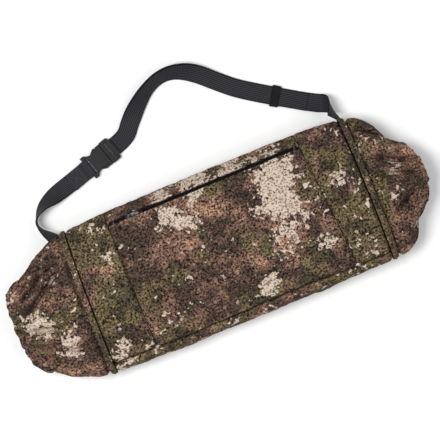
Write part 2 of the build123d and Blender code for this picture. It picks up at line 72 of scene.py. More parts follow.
VECTOR = "ShaderNodeVectorMath"
WAVE_PERIOD = 0.314  # what a wave texture takes to repeat at a scale of 1
log = logging.getLogger("muff")


class Side(Enum):
    """The muff's two ends, with the way each points along X."""

    LEFT = -1
    RIGHT = 1

    @property
    def word(self) -> str:
        """The side's name in lower case, as the frame's nodes use it."""
        return self.name.lower()


class Body(Enum):
    """The moving bodies that new pieces ride on."""

    MUFF = "muff"
    BUCKLE_MALE = "buckle_male"


class Slot(Enum):
    """The record's material slots."""

    FLEECE = "fleece_print"
    LINING = "lining_fleece"
    BATTING = "batting_wadding"
    ELASTIC = "cuff_elastic"
    POCKET = "pocket_lining"
    WEBBING = "black_webbing"


# ---------------------------------------------------------------- small helpers
def smooth_step(values: np.ndarray) -> np.ndarray:
    """Eases values from 0 to 1, flat outside that range."""
    held = np.clip(values, 0.0, 1.0)
    return held * held * (3.0 - 2.0 * held)


def bell(distance: np.ndarray, width: float) -> np.ndarray:
    """A rounded hump that is 1 at no distance and fades over a width."""
    return np.exp(-((distance / width) ** 2))


def noise_at(places: np.ndarray, grain: float, seed: float) -> np.ndarray:
    """Smooth noise between about -1 and 1.

    Args:
        places: points, one row each, in any unit.
        grain: size of the noise's lumps in that unit.
        seed: shifts the noise, so that two calls differ.

    Returns:
        One value for each point.
    """
    shift = Vector((seed, 1.7 * seed, -2.3 * seed))
    return np.array([noise.noise(Vector(place) / grain + shift) for place in places])


def outline_distance(places: np.ndarray, path: np.ndarray) -> tuple[np.ndarray, np.ndarray]:
    """Measures flat points against a line of short runs.

    Args:
        places: points across the floor, two columns.
        path: the line's corners, two columns.

    Returns:
        Each point's distance, positive on the line's left, and how far along it lies, 0 to 1.
    """
    steps = np.diff(path, axis=0)
    lengths = np.linalg.norm(steps, axis=1)
    starts = np.concatenate([[0.0], np.cumsum(lengths)])
    best = np.full(len(places), np.inf)
    signed = np.zeros(len(places))
    along = np.zeros(len(places))
    for corner, step, length, start in zip(path, steps, lengths, starts):
        offset = places - corner
        share = np.clip(offset @ step / length**2, 0.0, 1.0)
        gap = offset - share[:, None] * step
        distance = np.linalg.norm(gap, axis=1)
        left = np.sign(step[0] * offset[:, 1] - step[1] * offset[:, 0])
        nearer = distance < best
        best = np.where(nearer, distance, best)
        signed = np.where(nearer, distance * np.where(left == 0, 1.0, left), signed)
        along = np.where(nearer, (start + share * length) / starts[-1], along)
    return signed, along


def finish_mesh(name: str, work: bmesh.types.BMesh, outward: bool = False) -> bpy.types.Object:
    """Makes an object at the origin from finished mesh work.

    Args:
        name: the piece's name.
        work: the mesh work, which is freed.
        outward: turns an open sheet's faces away from the muff's own axis.

    Returns:
        The new object, smooth shaded.
    """
    bmesh.ops.recalc_face_normals(work, faces=work.faces)
    if outward:
        axis = MuffForm.current.axis_point()
        facing = sum(face.normal.dot(face.calc_center_median() - axis) for face in work.faces)
        if facing < 0:
            bmesh.ops.reverse_faces(work, faces=work.faces)
    for face in work.faces:
        face.smooth = True
    data = bpy.data.meshes.new(name)
    work.to_mesh(data)
    work.free()
    piece = bpy.data.objects.new(name, data)
    bpy.context.scene.collection.objects.link(piece)
    return piece


def shaped_grid(
    counts: tuple[int, int],
    shape: Callable[[np.ndarray, np.ndarray], np.ndarray],
    closed: bool = False,
    lined: tuple[float, float] = (2.0, 2.0),
) -> bmesh.types.BMesh:
    """Makes a flat grid and moves its points by a shape.

    Args:
        counts: how many cells each way.
        shape: takes both shares, 0 to 1, and gives the points in metres.
        closed: merges edges that the shape brings together.
        lined: the first shares between which faces take the second finish.

    Returns:
        The mesh work.
    """
    work = bmesh.new()
    bmesh.ops.create_grid(work, x_segments=counts[0], y_segments=counts[1], size=1.0)
    flat = np.array([vert.co[:2] for vert in work.verts])
    shares = (flat - flat.min(axis=0)) / (flat.max(axis=0) - flat.min(axis=0))
    for face in work.faces:
        middle = (face.calc_center_median().x + 1.0) / 2
        face.material_index = int(lined[0] < middle < lined[1])
    for vert, place in zip(work.verts, shape(shares[:, 0], shares[:, 1])):
        vert.co = place
    if closed:
        bmesh.ops.remove_doubles(work, verts=work.verts, dist=0.01 * MM)
    return work


def apply_modifiers(piece: bpy.types.Object) -> None:
    """Bakes a piece's modifiers into its mesh.

    Args:
        piece: what they are on.
    """
    graph = bpy.context.evaluated_depsgraph_get()
    graph.update()
    made = bpy.data.meshes.new_from_object(piece.evaluated_get(graph))
    piece.modifiers.clear()
    old = piece.data
    piece.data = made
    bpy.data.meshes.remove(old)


def thicken(piece: bpy.types.Object, wall: float, offset: float = -1.0) -> None:
    """Gives a sheet its wall.

    Args:
        piece: the sheet.
        wall: its thickness in millimetres.
        offset: -1 puts it inwards and 0 half to each side.
    """
    solid = piece.modifiers.new("wall", "SOLIDIFY")
    solid.thickness = wall * MM
    solid.offset = offset


# ---------------------------------------------------------------- finishes
def linear(hex_colour: str) -> tuple[float, float, float, float]:
    """Turns an sRGB hex colour to linear values.

    Args:
        hex_colour: a hash sign and six hex digits.

    Returns:
        The linear values, with full opacity.
    """
    parts = [int(hex_colour[i : i + 2], 16) / 255 for i in (1, 3, 5)]
    turned = [c / 12.92 if c <= 0.04045 else ((c + 0.055) / 1.055) ** 2.4 for c in parts]
    return (*turned, 1.0)


def add_node(
    tree: bpy.types.NodeTree, kind: str, inputs: dict[str | int, object], **settings: object
) -> bpy.types.Node:
    """Adds a shader node with its settings and links.

    Args:
        tree: the material's nodes.
        kind: the node's type name.
        inputs: socket name or number to a value, a hex colour or another node's output.
        **settings: the node's own properties.

    Returns:
        The node.
    """
    node = tree.nodes.new(kind)
    for setting, value in settings.items():
        setattr(node, setting, value)
    for socket, value in inputs.items():
        if isinstance(value, bpy.types.NodeSocket):
            tree.links.new(value, node.inputs[socket])
        else:
            node.inputs[socket].default_value = linear(value) if isinstance(value, str) else value
    return node


def new_material(name: str) -> tuple[bpy.types.Material, bpy.types.NodeTree, bpy.types.Node]:
    """Makes an empty node material.

    Args:
        name: the finish's name.

    Returns:
        The material, its nodes and its surface shader.
    """
    material = bpy.data.materials.new(name)
    material.use_nodes = True
    tree = material.node_tree
    shader = tree.nodes["Principled BSDF"]
    return material, tree, shader


def dress(piece: bpy.types.Object, *materials: bpy.types.Material) -> None:
    """Puts materials on a piece in place of what it had.

    Args:
        piece: what they go on.
        *materials: one for each slot, or one for a piece that has slots.
    """
    if len(piece.material_slots) == 0:
        for material in materials:
            piece.data.materials.append(material)
        return
    for slot in piece.material_slots:
        slot.material = materials[0]


@dataclass(frozen=True)
class FleecePrint:
    """Brushed polyester fleece with a mottled earth-tone print, cut from one place of the cloth.

    The pile stands up in small tufts. Painted light brightens their tips, and painted shade darkens
    their pits near to black and the cream to brown there; more painted shade darkens seams and folds.
    The tufts are drawn about half as large again as real ones, so that they still show from afar.
    Sizes are in millimetres. A bias above 0 makes more of its colour.
    """

    name: str
    shift: tuple[float, float, float]
    pale_patches: tuple[tuple[float, float, float], ...] = ()
    olive_bias: float = 0.0
    pale_bias: float = 0.0
    brown: str = "#6f5548"
    dark_brown: str = "#44362f"
    tan: str = "#94735f"
    olive: str = "#5f533b"
    dark_olive: str = "#3f382c"
    cream: str = "#cbbaaa"
    # The next two colours are painted shade: the cream's colour down in the pits, and the near-black of
    # the pits and the creases.
    cream_pit_shade: str = "#6f574a"
    painted_shade: str = "#120e0c"
    # Painted light: how many times brighter the tufts' tips are drawn.
    lit_tip_gain: float = 2.1
    # Painted shade in seams and folds: how far the occlusion looks, and the occlusion at which the shade
    # is full and at which it is gone.
    crease_shade_reach: float = 11.0
    crease_shade_full: float = 0.12
    crease_shade_none: float = 0.66
    tuft_size: float = 2.7
    tuft_height: float = 1.7
    patch_size: float = 34.0
    patch_level: float = 60.0
    broad_size: float = 70.0
    middle_size: float = 30.0
    middle_shift: tuple[float, float, float] = (0.31, -0.31, 0.31)
    speck_size: float = 6.5
    hole_size: float = 10.0
    fleck_spacing: float = 24.0
    warp_size: float = 16.0
    warp_reach: float = 22.0
    raggedness: float = 0.62

    def make(self) -> bpy.types.Material:
        """Builds the fleece's material.

        Returns:
            The material.
        """
        material, tree, shader = new_material(self.name)
        place = add_node(tree, "ShaderNodeTexCoord", {}).outputs["Object"]
        shift = tuple(part * MM for part in self.shift)
        mapped = add_node(tree, "ShaderNodeMapping", {"Vector": place, "Location": shift}).outputs[0]
        cloth = self._warp(tree, mapped)
        moved = add_node(tree, VECTOR, {0: cloth, 1: self.middle_shift}).outputs[0]
        noises = []
        for vector, size, detail in (
            (cloth, self.broad_size, 3.0),
            (moved, self.middle_size, 4.0),
            (mapped, self.speck_size, 1.5),
            (mapped, self.tuft_size, 1.5),
        ):
            inputs = {"Vector": vector, "Scale": 1.0 / (size * MM), "Detail": detail}
            lumps = add_node(tree, NOISE, {**inputs, "Roughness": self.raggedness})
            noises.append(lumps.outputs[0])
        broad, middle, speck, tuft = noises
        shares = []
        for value, low, high, most in (
            (middle, 0.44, 0.56, 1.0),
            (middle, 0.57, 0.68, 1.0),
            (broad, 0.5 - self.olive_bias, 0.55 - self.olive_bias, 1.0),
            (middle, 0.42, 0.54, 1.0),
            (tuft, 0.52, 0.68, 1.0),
            (tuft, 0.475, 0.4, 0.95),
            (tuft, 0.5, 0.42, 0.8),
        ):
            inputs = {"Value": value, "From Min": low, "From Max": high, "To Max": most}
            eased = add_node(tree, RANGE, inputs, interpolation_type="SMOOTHSTEP")
            shares.append(eased.outputs[0])
        # The last three shares follow the tufts' height: the first brightens the tips as painted light,
        # and the other two darken the low tufts as painted shade, near to black and, on the cream, to
        # brown.
        brown, tan, olive, green, tip, painted_shade, worn = shares
        grounds = (
            (brown, self.dark_brown, self.brown),
            (green, self.dark_olive, self.olive),
            (worn, self.cream, self.cream_pit_shade),
        )
        colour, mossy, pale = (
            add_node(tree, MIX, {0: share, 6: first, 7: second}, data_type="RGBA").outputs[2]
            for share, first, second in grounds
        )
        for share, above in ((tan, self.tan), (olive, mossy)):
            mix = add_node(tree, MIX, {0: share, 6: colour, 7: above}, data_type="RGBA")
            colour = mix.outputs[2]
        # Painted light: the print made brighter for the tufts' tips.
        raised = add_node(tree, VECTOR, {0: colour, "Scale": self.lit_tip_gain}, operation="SCALE")
        patches = self._pale(tree, place, cloth, speck)
        flecks = self._flecks(tree, cloth, broad)
        # Painted light on the tips and painted shade in the pits go on first, then the print's pale
        # patches and flecks.
        layers = ((tip, raised.outputs[0]), (painted_shade, self.painted_shade), (patches, pale), (flecks, self.cream))
        for share, above in layers:
            mix = add_node(tree, MIX, {0: share, 6: colour, 7: above}, data_type="RGBA")
            colour = mix.outputs[2]
        # Painted shade from the occlusion darkens the colour in seams and folds.
        tree.links.new(self._paint_crease_shade(tree, colour), shader.inputs["Base Color"])
        shader.inputs["Roughness"].default_value = 0.95
        shader.inputs["Specular IOR Level"].default_value = 0.12
        shader.inputs["Sheen Weight"].default_value = 0.06
        shader.inputs["Sheen Tint"].default_value = linear(self.tan)
        height = {"Height": tuft, "Strength": 1.0, "Distance": self.tuft_height * MM}
        bump = add_node(tree, "ShaderNodeBump", height)
        tree.links.new(bump.outputs[0], shader.inputs["Normal"])
        return material

    def _warp(
        self, tree: bpy.types.NodeTree, mapped: bpy.types.NodeSocket
    ) -> bpy.types.NodeSocket:
        """Moves the cloth's places about, so that the print's blots get ragged shapes.

        Args:
            tree: the material's nodes.
            mapped: places on the cloth.

        Returns:
            The moved places.
        """
        inputs = {"Vector": mapped, "Scale": 1.0 / (self.warp_size * MM), "Detail": 2.0}
        lumps = add_node(tree, NOISE, {**inputs, "Roughness": self.raggedness})
        inputs = {0: lumps.outputs["Color"], 1: (0.5, 0.5, 0.5)}
        centred = add_node(tree, VECTOR, inputs, operation="SUBTRACT")
        inputs = {0: centred.outputs[0], "Scale": self.warp_reach * MM}
        scaled = add_node(tree, VECTOR, inputs, operation="SCALE")
        return add_node(tree, VECTOR, {0: mapped, 1: scaled.outputs[0]}).outputs[0]

    def _paint_crease_shade(
        self, tree: bpy.types.NodeTree, colour: bpy.types.NodeSocket
    ) -> bpy.types.NodeSocket:
        """Paints shade into the colour where the pile faces itself, down in seams and folds, from the
        occlusion.

        Args:
            tree: the material's nodes.
            colour: the print's colour.

        Returns:
            The colour with painted shade in the creases.
        """
        inputs = {"Distance": self.crease_shade_reach * MM}
        facing = add_node(tree, "ShaderNodeAmbientOcclusion", inputs, samples=6).outputs["AO"]
        inputs = {"Value": facing, "From Min": self.crease_shade_full, "From Max": self.crease_shade_none}
        shaded = add_node(tree, RANGE, inputs, interpolation_type="SMOOTHSTEP").outputs[0]
        return add_node(
            tree, MIX, {0: shaded, 6: self.painted_shade, 7: colour}, data_type="RGBA"
        ).outputs[2]

    def _pale(
        self,
        tree: bpy.types.NodeTree,
        place: bpy.types.NodeSocket,
        cloth: bpy.types.NodeSocket,
        speck: bpy.types.NodeSocket,
    ) -> bpy.types.NodeSocket:
        """Pale patches with ragged edges and specks of the ground showing through.

        Args:
            tree: the material's nodes.
            place: places on the piece.
            cloth: places on the warped cloth.
            speck: fine noise that breaks the patches' edges.

        Returns:
            How pale each place is, 0 to 1.
        """
        noises = []
        for vector, size, detail in ((cloth, self.patch_size, 5.0), (place, self.hole_size, 2.0)):
            inputs = {"Vector": vector, "Scale": 1.0 / (size * MM), "Detail": detail}
            lumps = add_node(tree, NOISE, {**inputs, "Roughness": self.raggedness})
            noises.append(lumps.outputs[0])
        total = add_node(tree, MATHS, {0: noises[0], 1: self.pale_bias}, operation="ADD").outputs[0]
        for x, y, radius in self.pale_patches:
            inputs = {0: place, 1: (x * MM, y * MM, self.patch_level * MM)}
            away = add_node(tree, VECTOR, inputs, operation="DISTANCE").outputs["Value"]
            inputs = {"Value": away, "From Min": radius * MM, "From Max": 0.35 * radius * MM}
            near = add_node(tree, RANGE, inputs, interpolation_type="SMOOTHSTEP").outputs[0]
            more = add_node(tree, MATHS, {0: near, 1: 0.24, 2: total}, operation="MULTIPLY_ADD")
            total = more.outputs[0]
        inputs = {"Value": noises[1], "From Min": 0.54, "From Max": 0.62}
        holes = add_node(tree, RANGE, inputs, interpolation_type="SMOOTHSTEP").outputs[0]
        for value, weight in ((speck, 0.7), (holes, -0.15)):
            more = add_node(tree, MATHS, {0: value, 1: weight, 2: total}, operation="MULTIPLY_ADD")
            total = more.outputs[0]
        inputs = {"Value": total, "From Min": 0.945, "From Max": 0.985}
        return add_node(tree, RANGE, inputs, interpolation_type="SMOOTHSTEP").outputs[0]

    def _flecks(
        self, tree: bpy.types.NodeTree, cloth: bpy.types.NodeSocket, broad: bpy.types.NodeSocket
    ) -> bpy.types.NodeSocket:
        """Small lone pale flecks, a few millimetres across, in loose groups.

        Args:
            tree: the material's nodes.
            cloth: places on the warped cloth.
            broad: broad noise that gathers the flecks in groups.

        Returns:
            How far each place is on a fleck, 0 to 1.
        """
        inputs = {"Vector": cloth, "Scale": 1.0 / (self.fleck_spacing * MM), "Randomness": 1.0}
        cell = add_node(tree, "ShaderNodeTexVoronoi", inputs).outputs["Distance"]
        group, fleck = (
            add_node(
                tree, RANGE, {"Value": value, "From Min": low, "From Max": high},
                interpolation_type="SMOOTHSTEP",
            ).outputs[0]
            for value, low, high in ((broad, 0.5, 0.57), (cell, 0.16, 0.1))
        )
        return add_node(tree, MATHS, {0: fleck, 1: group}, operation="MULTIPLY").outputs[0]


@dataclass(frozen=True)
class PlainFleece:
    """Short brushed lining fleece in dark brown: an even matt pile with fine tufts."""

    name: str = "lining_fleece_brushed"
    colour: str = "#3b322d"
    tip: str = "#5c5048"
    tuft_size: float = 1.8

    def make(self) -> bpy.types.Material:
        """Builds the lining fleece's material.

        Returns:
            The material.
        """
        material, tree, shader = new_material(self.name)
        place = add_node(tree, "ShaderNodeTexCoord", {}).outputs["Object"]
        tuft = add_node(
            tree,
            NOISE,
            {"Vector": place, "Scale": 1.0 / (self.tuft_size * MM), "Detail": 2.0},
        ).outputs[0]
        ramp = add_node(tree, "ShaderNodeValToRGB", {"Fac": tuft})
        ramp.color_ramp.elements[0].position = 0.35
        ramp.color_ramp.elements[0].color = linear(self.colour)
        ramp.color_ramp.elements[1].position = 0.7
        ramp.color_ramp.elements[1].color = linear(self.tip)
        tree.links.new(ramp.outputs[0], shader.inputs["Base Color"])
        shader.inputs["Roughness"].default_value = 0.96
        shader.inputs["Sheen Weight"].default_value = 0.2
        bump = add_node(
            tree, "ShaderNodeBump", {"Height": tuft, "Strength": 0.7, "Distance": 0.8 * MM}
        )
        tree.links.new(bump.outputs[0], shader.inputs["Normal"])
        return material


@dataclass(frozen=True)
class WovenCloth:
    """Plain woven polyester: fine crossing threads, used for tape, pocketing and elastic.

    The threads are drawn about twice as far apart as real ones, so that they still show.
    """

    name: str
    colour: str
    thread: str
    thread_spacing: float = 0.9
    roughness: float = 0.8

    def make(self) -> bpy.types.Material:
        """Builds the woven cloth's material.

        Returns:
            The material.
        """
        material, tree, shader = new_material(self.name)
        place = add_node(tree, "ShaderNodeTexCoord", {}).outputs["Object"]
        waves = []
        for direction in ("X", "Y"):
            wave = add_node(
                tree,
                "ShaderNodeTexWave",
                {"Vector": place, "Scale": WAVE_PERIOD / (self.thread_spacing * MM)},
                bands_direction=direction,
            )
            waves.append(wave.outputs["Fac"])
        cross = add_node(
            tree, MATHS, {0: waves[0], 1: waves[1]}, operation="MULTIPLY"
        ).outputs[0]
        ramp = add_node(tree, "ShaderNodeValToRGB", {"Fac": cross})
        ramp.color_ramp.elements[0].color = linear(self.colour)
        ramp.color_ramp.elements[1].color = linear(self.thread)
        tree.links.new(ramp.outputs[0], shader.inputs["Base Color"])
        shader.inputs["Roughness"].default_value = self.roughness
        bump = add_node(
            tree, "ShaderNodeBump", {"Height": cross, "Strength": 0.5, "Distance": 0.2 * MM}
        )
        tree.links.new(bump.outputs[0], shader.inputs["Normal"])
        return material


@dataclass(frozen=True)
class Wadding:
    """Needled polyester wadding: white, matt and cloudy."""

    name: str = "batting_needled_polyester"
    colour: str = "#e6e3dc"
    shade: str = "#c9c5bb"

    def make(self) -> bpy.types.Material:
        """Builds the wadding's material.

        Returns:
            The material.
        """
        material, tree, shader = new_material(self.name)
        place = add_node(tree, "ShaderNodeTexCoord", {}).outputs["Object"]
        cloud = add_node(
            tree, NOISE, {"Vector": place, "Scale": 1.0 / (7.0 * MM), "Detail": 5.0}
        ).outputs[0]
        ramp = add_node(tree, "ShaderNodeValToRGB", {"Fac": cloud})
        ramp.color_ramp.elements[0].color = linear(self.shade)
        ramp.color_ramp.elements[1].color = linear(self.colour)
        tree.links.new(ramp.outputs[0], shader.inputs["Base Color"])
        shader.inputs["Roughness"].default_value = 1.0
        bump = add_node(
            tree, "ShaderNodeBump", {"Height": cloud, "Strength": 0.6, "Distance": 1.0 * MM}
        )
        tree.links.new(bump.outputs[0], shader.inputs["Normal"])
        return material


@dataclass(frozen=True)
class Webbing:
    """Polypropylene webbing, woven flat in black: rows of slanted yarns with a soft shine.

    On a strap it reads the strap's own map, which runs in metres along and across the webbing. On
    the folds at the buckle it reads the place, turned to run along the buckle. The yarns are drawn
    a little coarser than real ones, so that they still show from afar.
    """

    name: str = "webbing_woven_polypropylene"
    colour: str = "#08080a"
    yarn: str = "#4a4a52"
    edge_dark: str = "#060607"
    half_width: float = 12.7
    row_spacing: float = 2.54
    pick_spacing: float = 2.0
    source: str = "UV"
    turn: float = 0.0

    def make(self) -> bpy.types.Material:
        """Builds the webbing's material.

        Returns:
            The material.
        """
        material, tree, shader = new_material(self.name)
        read = add_node(tree, "ShaderNodeTexCoord", {}).outputs[self.source]
        place = add_node(
            tree,
            "ShaderNodeMapping",
            {"Vector": read, "Rotation": (0.0, 0.0, math.radians(self.turn))},
        ).outputs[0]
        split = add_node(tree, "ShaderNodeSeparateXYZ", {"Vector": place})
        rows = self._wave(tree, split.outputs["Y"], self.row_spacing)
        slant = add_node(
            tree,
            MATHS,
            {0: rows, 1: 0.8 * MM, 2: split.outputs["X"]},
            operation="MULTIPLY_ADD",
        ).outputs[0]
        picks = self._wave(tree, slant, self.pick_spacing)
        weave = add_node(
            tree, MATHS, {0: rows, 1: picks}, operation="MULTIPLY"
        ).outputs[0]
        ramp = add_node(tree, "ShaderNodeValToRGB", {"Fac": weave})
        ramp.color_ramp.elements[0].color = linear(self.colour)
        ramp.color_ramp.elements[1].color = linear(self.yarn)
        colour = ramp.outputs[0]
        if self.source == "UV":
            colour = self._darken_edges(tree, split.outputs["Y"], colour)
        tree.links.new(colour, shader.inputs["Base Color"])
        shader.inputs["Roughness"].default_value = 0.6
        shader.inputs["Specular IOR Level"].default_value = 0.18
        bump = add_node(
            tree, "ShaderNodeBump", {"Height": weave, "Strength": 0.7, "Distance": 0.3 * MM}
        )
        tree.links.new(bump.outputs[0], shader.inputs["Normal"])
        return material

    def _darken_edges(
        self, tree: bpy.types.NodeTree, across: bpy.types.NodeSocket, face: bpy.types.NodeSocket
    ) -> bpy.types.NodeSocket:
        """Darkens a band along both of the webbing's edges.

        Args:
            tree: the material's nodes.
            across: how far each place is from the webbing's middle line, in metres.
            face: the colour of the webbing's face.

        Returns:
            The colour with both edges darkened.
        """
        out = add_node(tree, MATHS, {0: across}, operation="ABSOLUTE").outputs[0]
        start, end = ((self.half_width - inset) * MM for inset in (1.9, 1.1))
        inputs = {"Value": out, "From Min": start, "From Max": end}
        edge = add_node(tree, RANGE, inputs).outputs[0]
        return add_node(
            tree, MIX, {0: edge, 6: face, 7: self.edge_dark}, data_type="RGBA"
        ).outputs[2]

    def _wave(
        self, tree: bpy.types.NodeTree, value: bpy.types.NodeSocket, spacing: float
    ) -> bpy.types.NodeSocket:
        """A rounded wave from 0 to 1.

        Args:
            tree: the material's nodes.
            value: what the wave runs along, in metres.
            spacing: millimetres from one crest to the next.

        Returns:
            The wave's value.
        """
        inputs = {0: value, 1: 2 * math.pi / (spacing * MM)}
        turned = add_node(tree, MATHS, inputs, operation="MULTIPLY").outputs[0]
        wave = add_node(tree, MATHS, {0: turned}, operation="SINE").outputs[0]
        return add_node(tree, MATHS, {0: wave, 1: 0.5, 2: 0.5}, operation="MULTIPLY_ADD").outputs[0]


@dataclass(frozen=True)
class Thread:
    """Twisted polyester sewing thread: a soft shine and fine twist."""

    name: str
    colour: str

    def make(self) -> bpy.types.Material:
        """Builds the thread's material.

        Returns:
            The material.
        """
        material, tree, shader = new_material(self.name)
        place = add_node(tree, "ShaderNodeTexCoord", {}).outputs["Object"]
        twist = add_node(
            tree, NOISE, {"Vector": place, "Scale": 1.0 / (0.6 * MM)}
        ).outputs[0]
        ramp = add_node(tree, "ShaderNodeValToRGB", {"Fac": twist})
        base = linear(self.colour)
        ramp.color_ramp.elements[0].color = tuple(part * 0.6 for part in base[:3]) + (1.0,)
        ramp.color_ramp.elements[1].color = base
        tree.links.new(ramp.outputs[0], shader.inputs["Base Color"])
        shader.inputs["Roughness"].default_value = 0.6
        return material


@dataclass(frozen=True)
class Moulded:
    """Moulded acetal or nylon: a fine spark-eroded grain, rubbed smoother in places.

    The painted zinc of the zip's slider has the same broken shine, and its pale worn patches are also a
    painted highlight. The grain is drawn several times coarser than a real mould's, so that it shows up
    close.
    """

    name: str
    colour: str = "#0b0b0d"
    # The second colour shows rubbed wear; on the painted zinc it is pale and is also a painted
    # highlight.
    worn: str = "#141417"
    specular: float = 0.13
    roughness: float = 0.34
    grain: float = 0.5
    metallic: float = 0.0

    def make(self) -> bpy.types.Material:
        """Builds the moulded plastic's or painted metal's material.

        Returns:
            The material.
        """
        material, tree, shader = new_material(self.name)
        place = add_node(tree, "ShaderNodeTexCoord", {}).outputs["Object"]
        # This noise puts the second colour and a rougher finish in patches: wear, and on the zinc a
        # painted highlight.
        wear_and_highlight_mask = add_node(
            tree, NOISE, {"Vector": place, "Scale": 1.0 / (6.0 * MM), "Detail": 4.0}
        ).outputs[0]
        ramp = add_node(tree, "ShaderNodeValToRGB", {"Fac": wear_and_highlight_mask})
        ramp.color_ramp.elements[0].position = 0.45
        ramp.color_ramp.elements[0].color = linear(self.colour)
        ramp.color_ramp.elements[1].position = 0.75
        ramp.color_ramp.elements[1].color = linear(self.worn)
        tree.links.new(ramp.outputs[0], shader.inputs["Base Color"])
        rubbed = add_node(
            tree,
            RANGE,
            {"Value": wear_and_highlight_mask, "To Min": self.roughness - 0.08, "To Max": self.roughness + 0.12},
        ).outputs[0]
        tree.links.new(rubbed, shader.inputs["Roughness"])
        shader.inputs["Metallic"].default_value = self.metallic
        shader.inputs["Specular IOR Level"].default_value = self.specular
        texture = add_node(
            tree, NOISE, {"Vector": place, "Scale": 1.0 / (self.grain * MM)}
        ).outputs[0]
        bump = add_node(
            tree, "ShaderNodeBump", {"Height": texture, "Strength": 0.25, "Distance": 0.1 * MM}
        )
        tree.links.new(bump.outputs[0], shader.inputs["Normal"])
        return material


@dataclass(frozen=True)
class StudioFloor:
    """Matt pale paper sweep: even, without grain that would draw the eye."""

    name: str = "floor_matt_paper"
    colour: str = "#f6f6f6"

    def make(self) -> bpy.types.Material:
        """Builds the floor's material.

        Returns:
            The material.
        """
        material, _tree, shader = new_material(self.name)
        shader.inputs["Base Color"].default_value = linear(self.colour)
        shader.inputs["Roughness"].default_value = 0.9
        shader.inputs["Specular IOR Level"].default_value = 0.1
        return material


# ---------------------------------------------------------------- camera and lights
@dataclass
class Studio:
    """An overhead camera turned with the muff lying aslant, soft lights and a pale floor."""

    camera_height: float = 2200.0
    middle: tuple[float, float] = (14.9, 33.5)
    view_width: float = 598.4
    subject_height: float = 36.0
    turn: float = -22.3
    sensor: float = 36.0
    key_power: float = 34.0
    fill_power: float = 10.0
    room_light: float = 0.42

    def build(self) -> None:
        """Makes the camera, the lights, the world's even light and the floor."""
        scene = bpy.context.scene
        data = bpy.data.cameras.new("camera")
        data.sensor_width = self.sensor
        data.lens = self.sensor * (self.camera_height - self.subject_height) / self.view_width
        data.clip_end = 20.0
        camera = bpy.data.objects.new("camera", data)
        camera.location = (*(part * MM for part in self.middle), self.camera_height * MM)
        camera.rotation_euler = (0.0, 0.0, math.radians(self.turn))
        scene.collection.objects.link(camera)
        scene.camera = camera
        scene.view_settings.view_transform = "Standard"
        self._light("key_light", (-0.75, 0.25, 2.0), 0.8, self.key_power)
        self._light("fill_light", (1.1, -0.5, 1.6), 1.4, self.fill_power)
        world = bpy.data.worlds.new("room")
        world.use_nodes = True
        world.node_tree.nodes["Background"].inputs[0].default_value = (1.0, 1.0, 1.0, 1.0)
        world.node_tree.nodes["Background"].inputs[1].default_value = self.room_light
        scene.world = world
        work = bmesh.new()
        bmesh.ops.create_grid(work, x_segments=1, y_segments=1, size=6.0)
        floor = finish_mesh("floor", work)
        dress(floor, StudioFloor().make())

    def _light(
        self, name: str, place: tuple[float, float, float], size: float, power: float
    ) -> None:
        """Adds a soft square light aimed at the muff.

        Args:
            name: the light's name.
            place: where it hangs, in metres.
            size: the length of its side, in metres.
            power: its power in watts.
        """
        data = bpy.data.lights.new(name, "AREA")
        data.size = size
        data.energy = power
        light = bpy.data.objects.new(name, data)
        light.location = place
        light.rotation_mode = "QUATERNION"
        light.rotation_quaternion = (-Vector(place)).to_track_quat("-Z", "Y")
        bpy.context.scene.collection.objects.link(light)


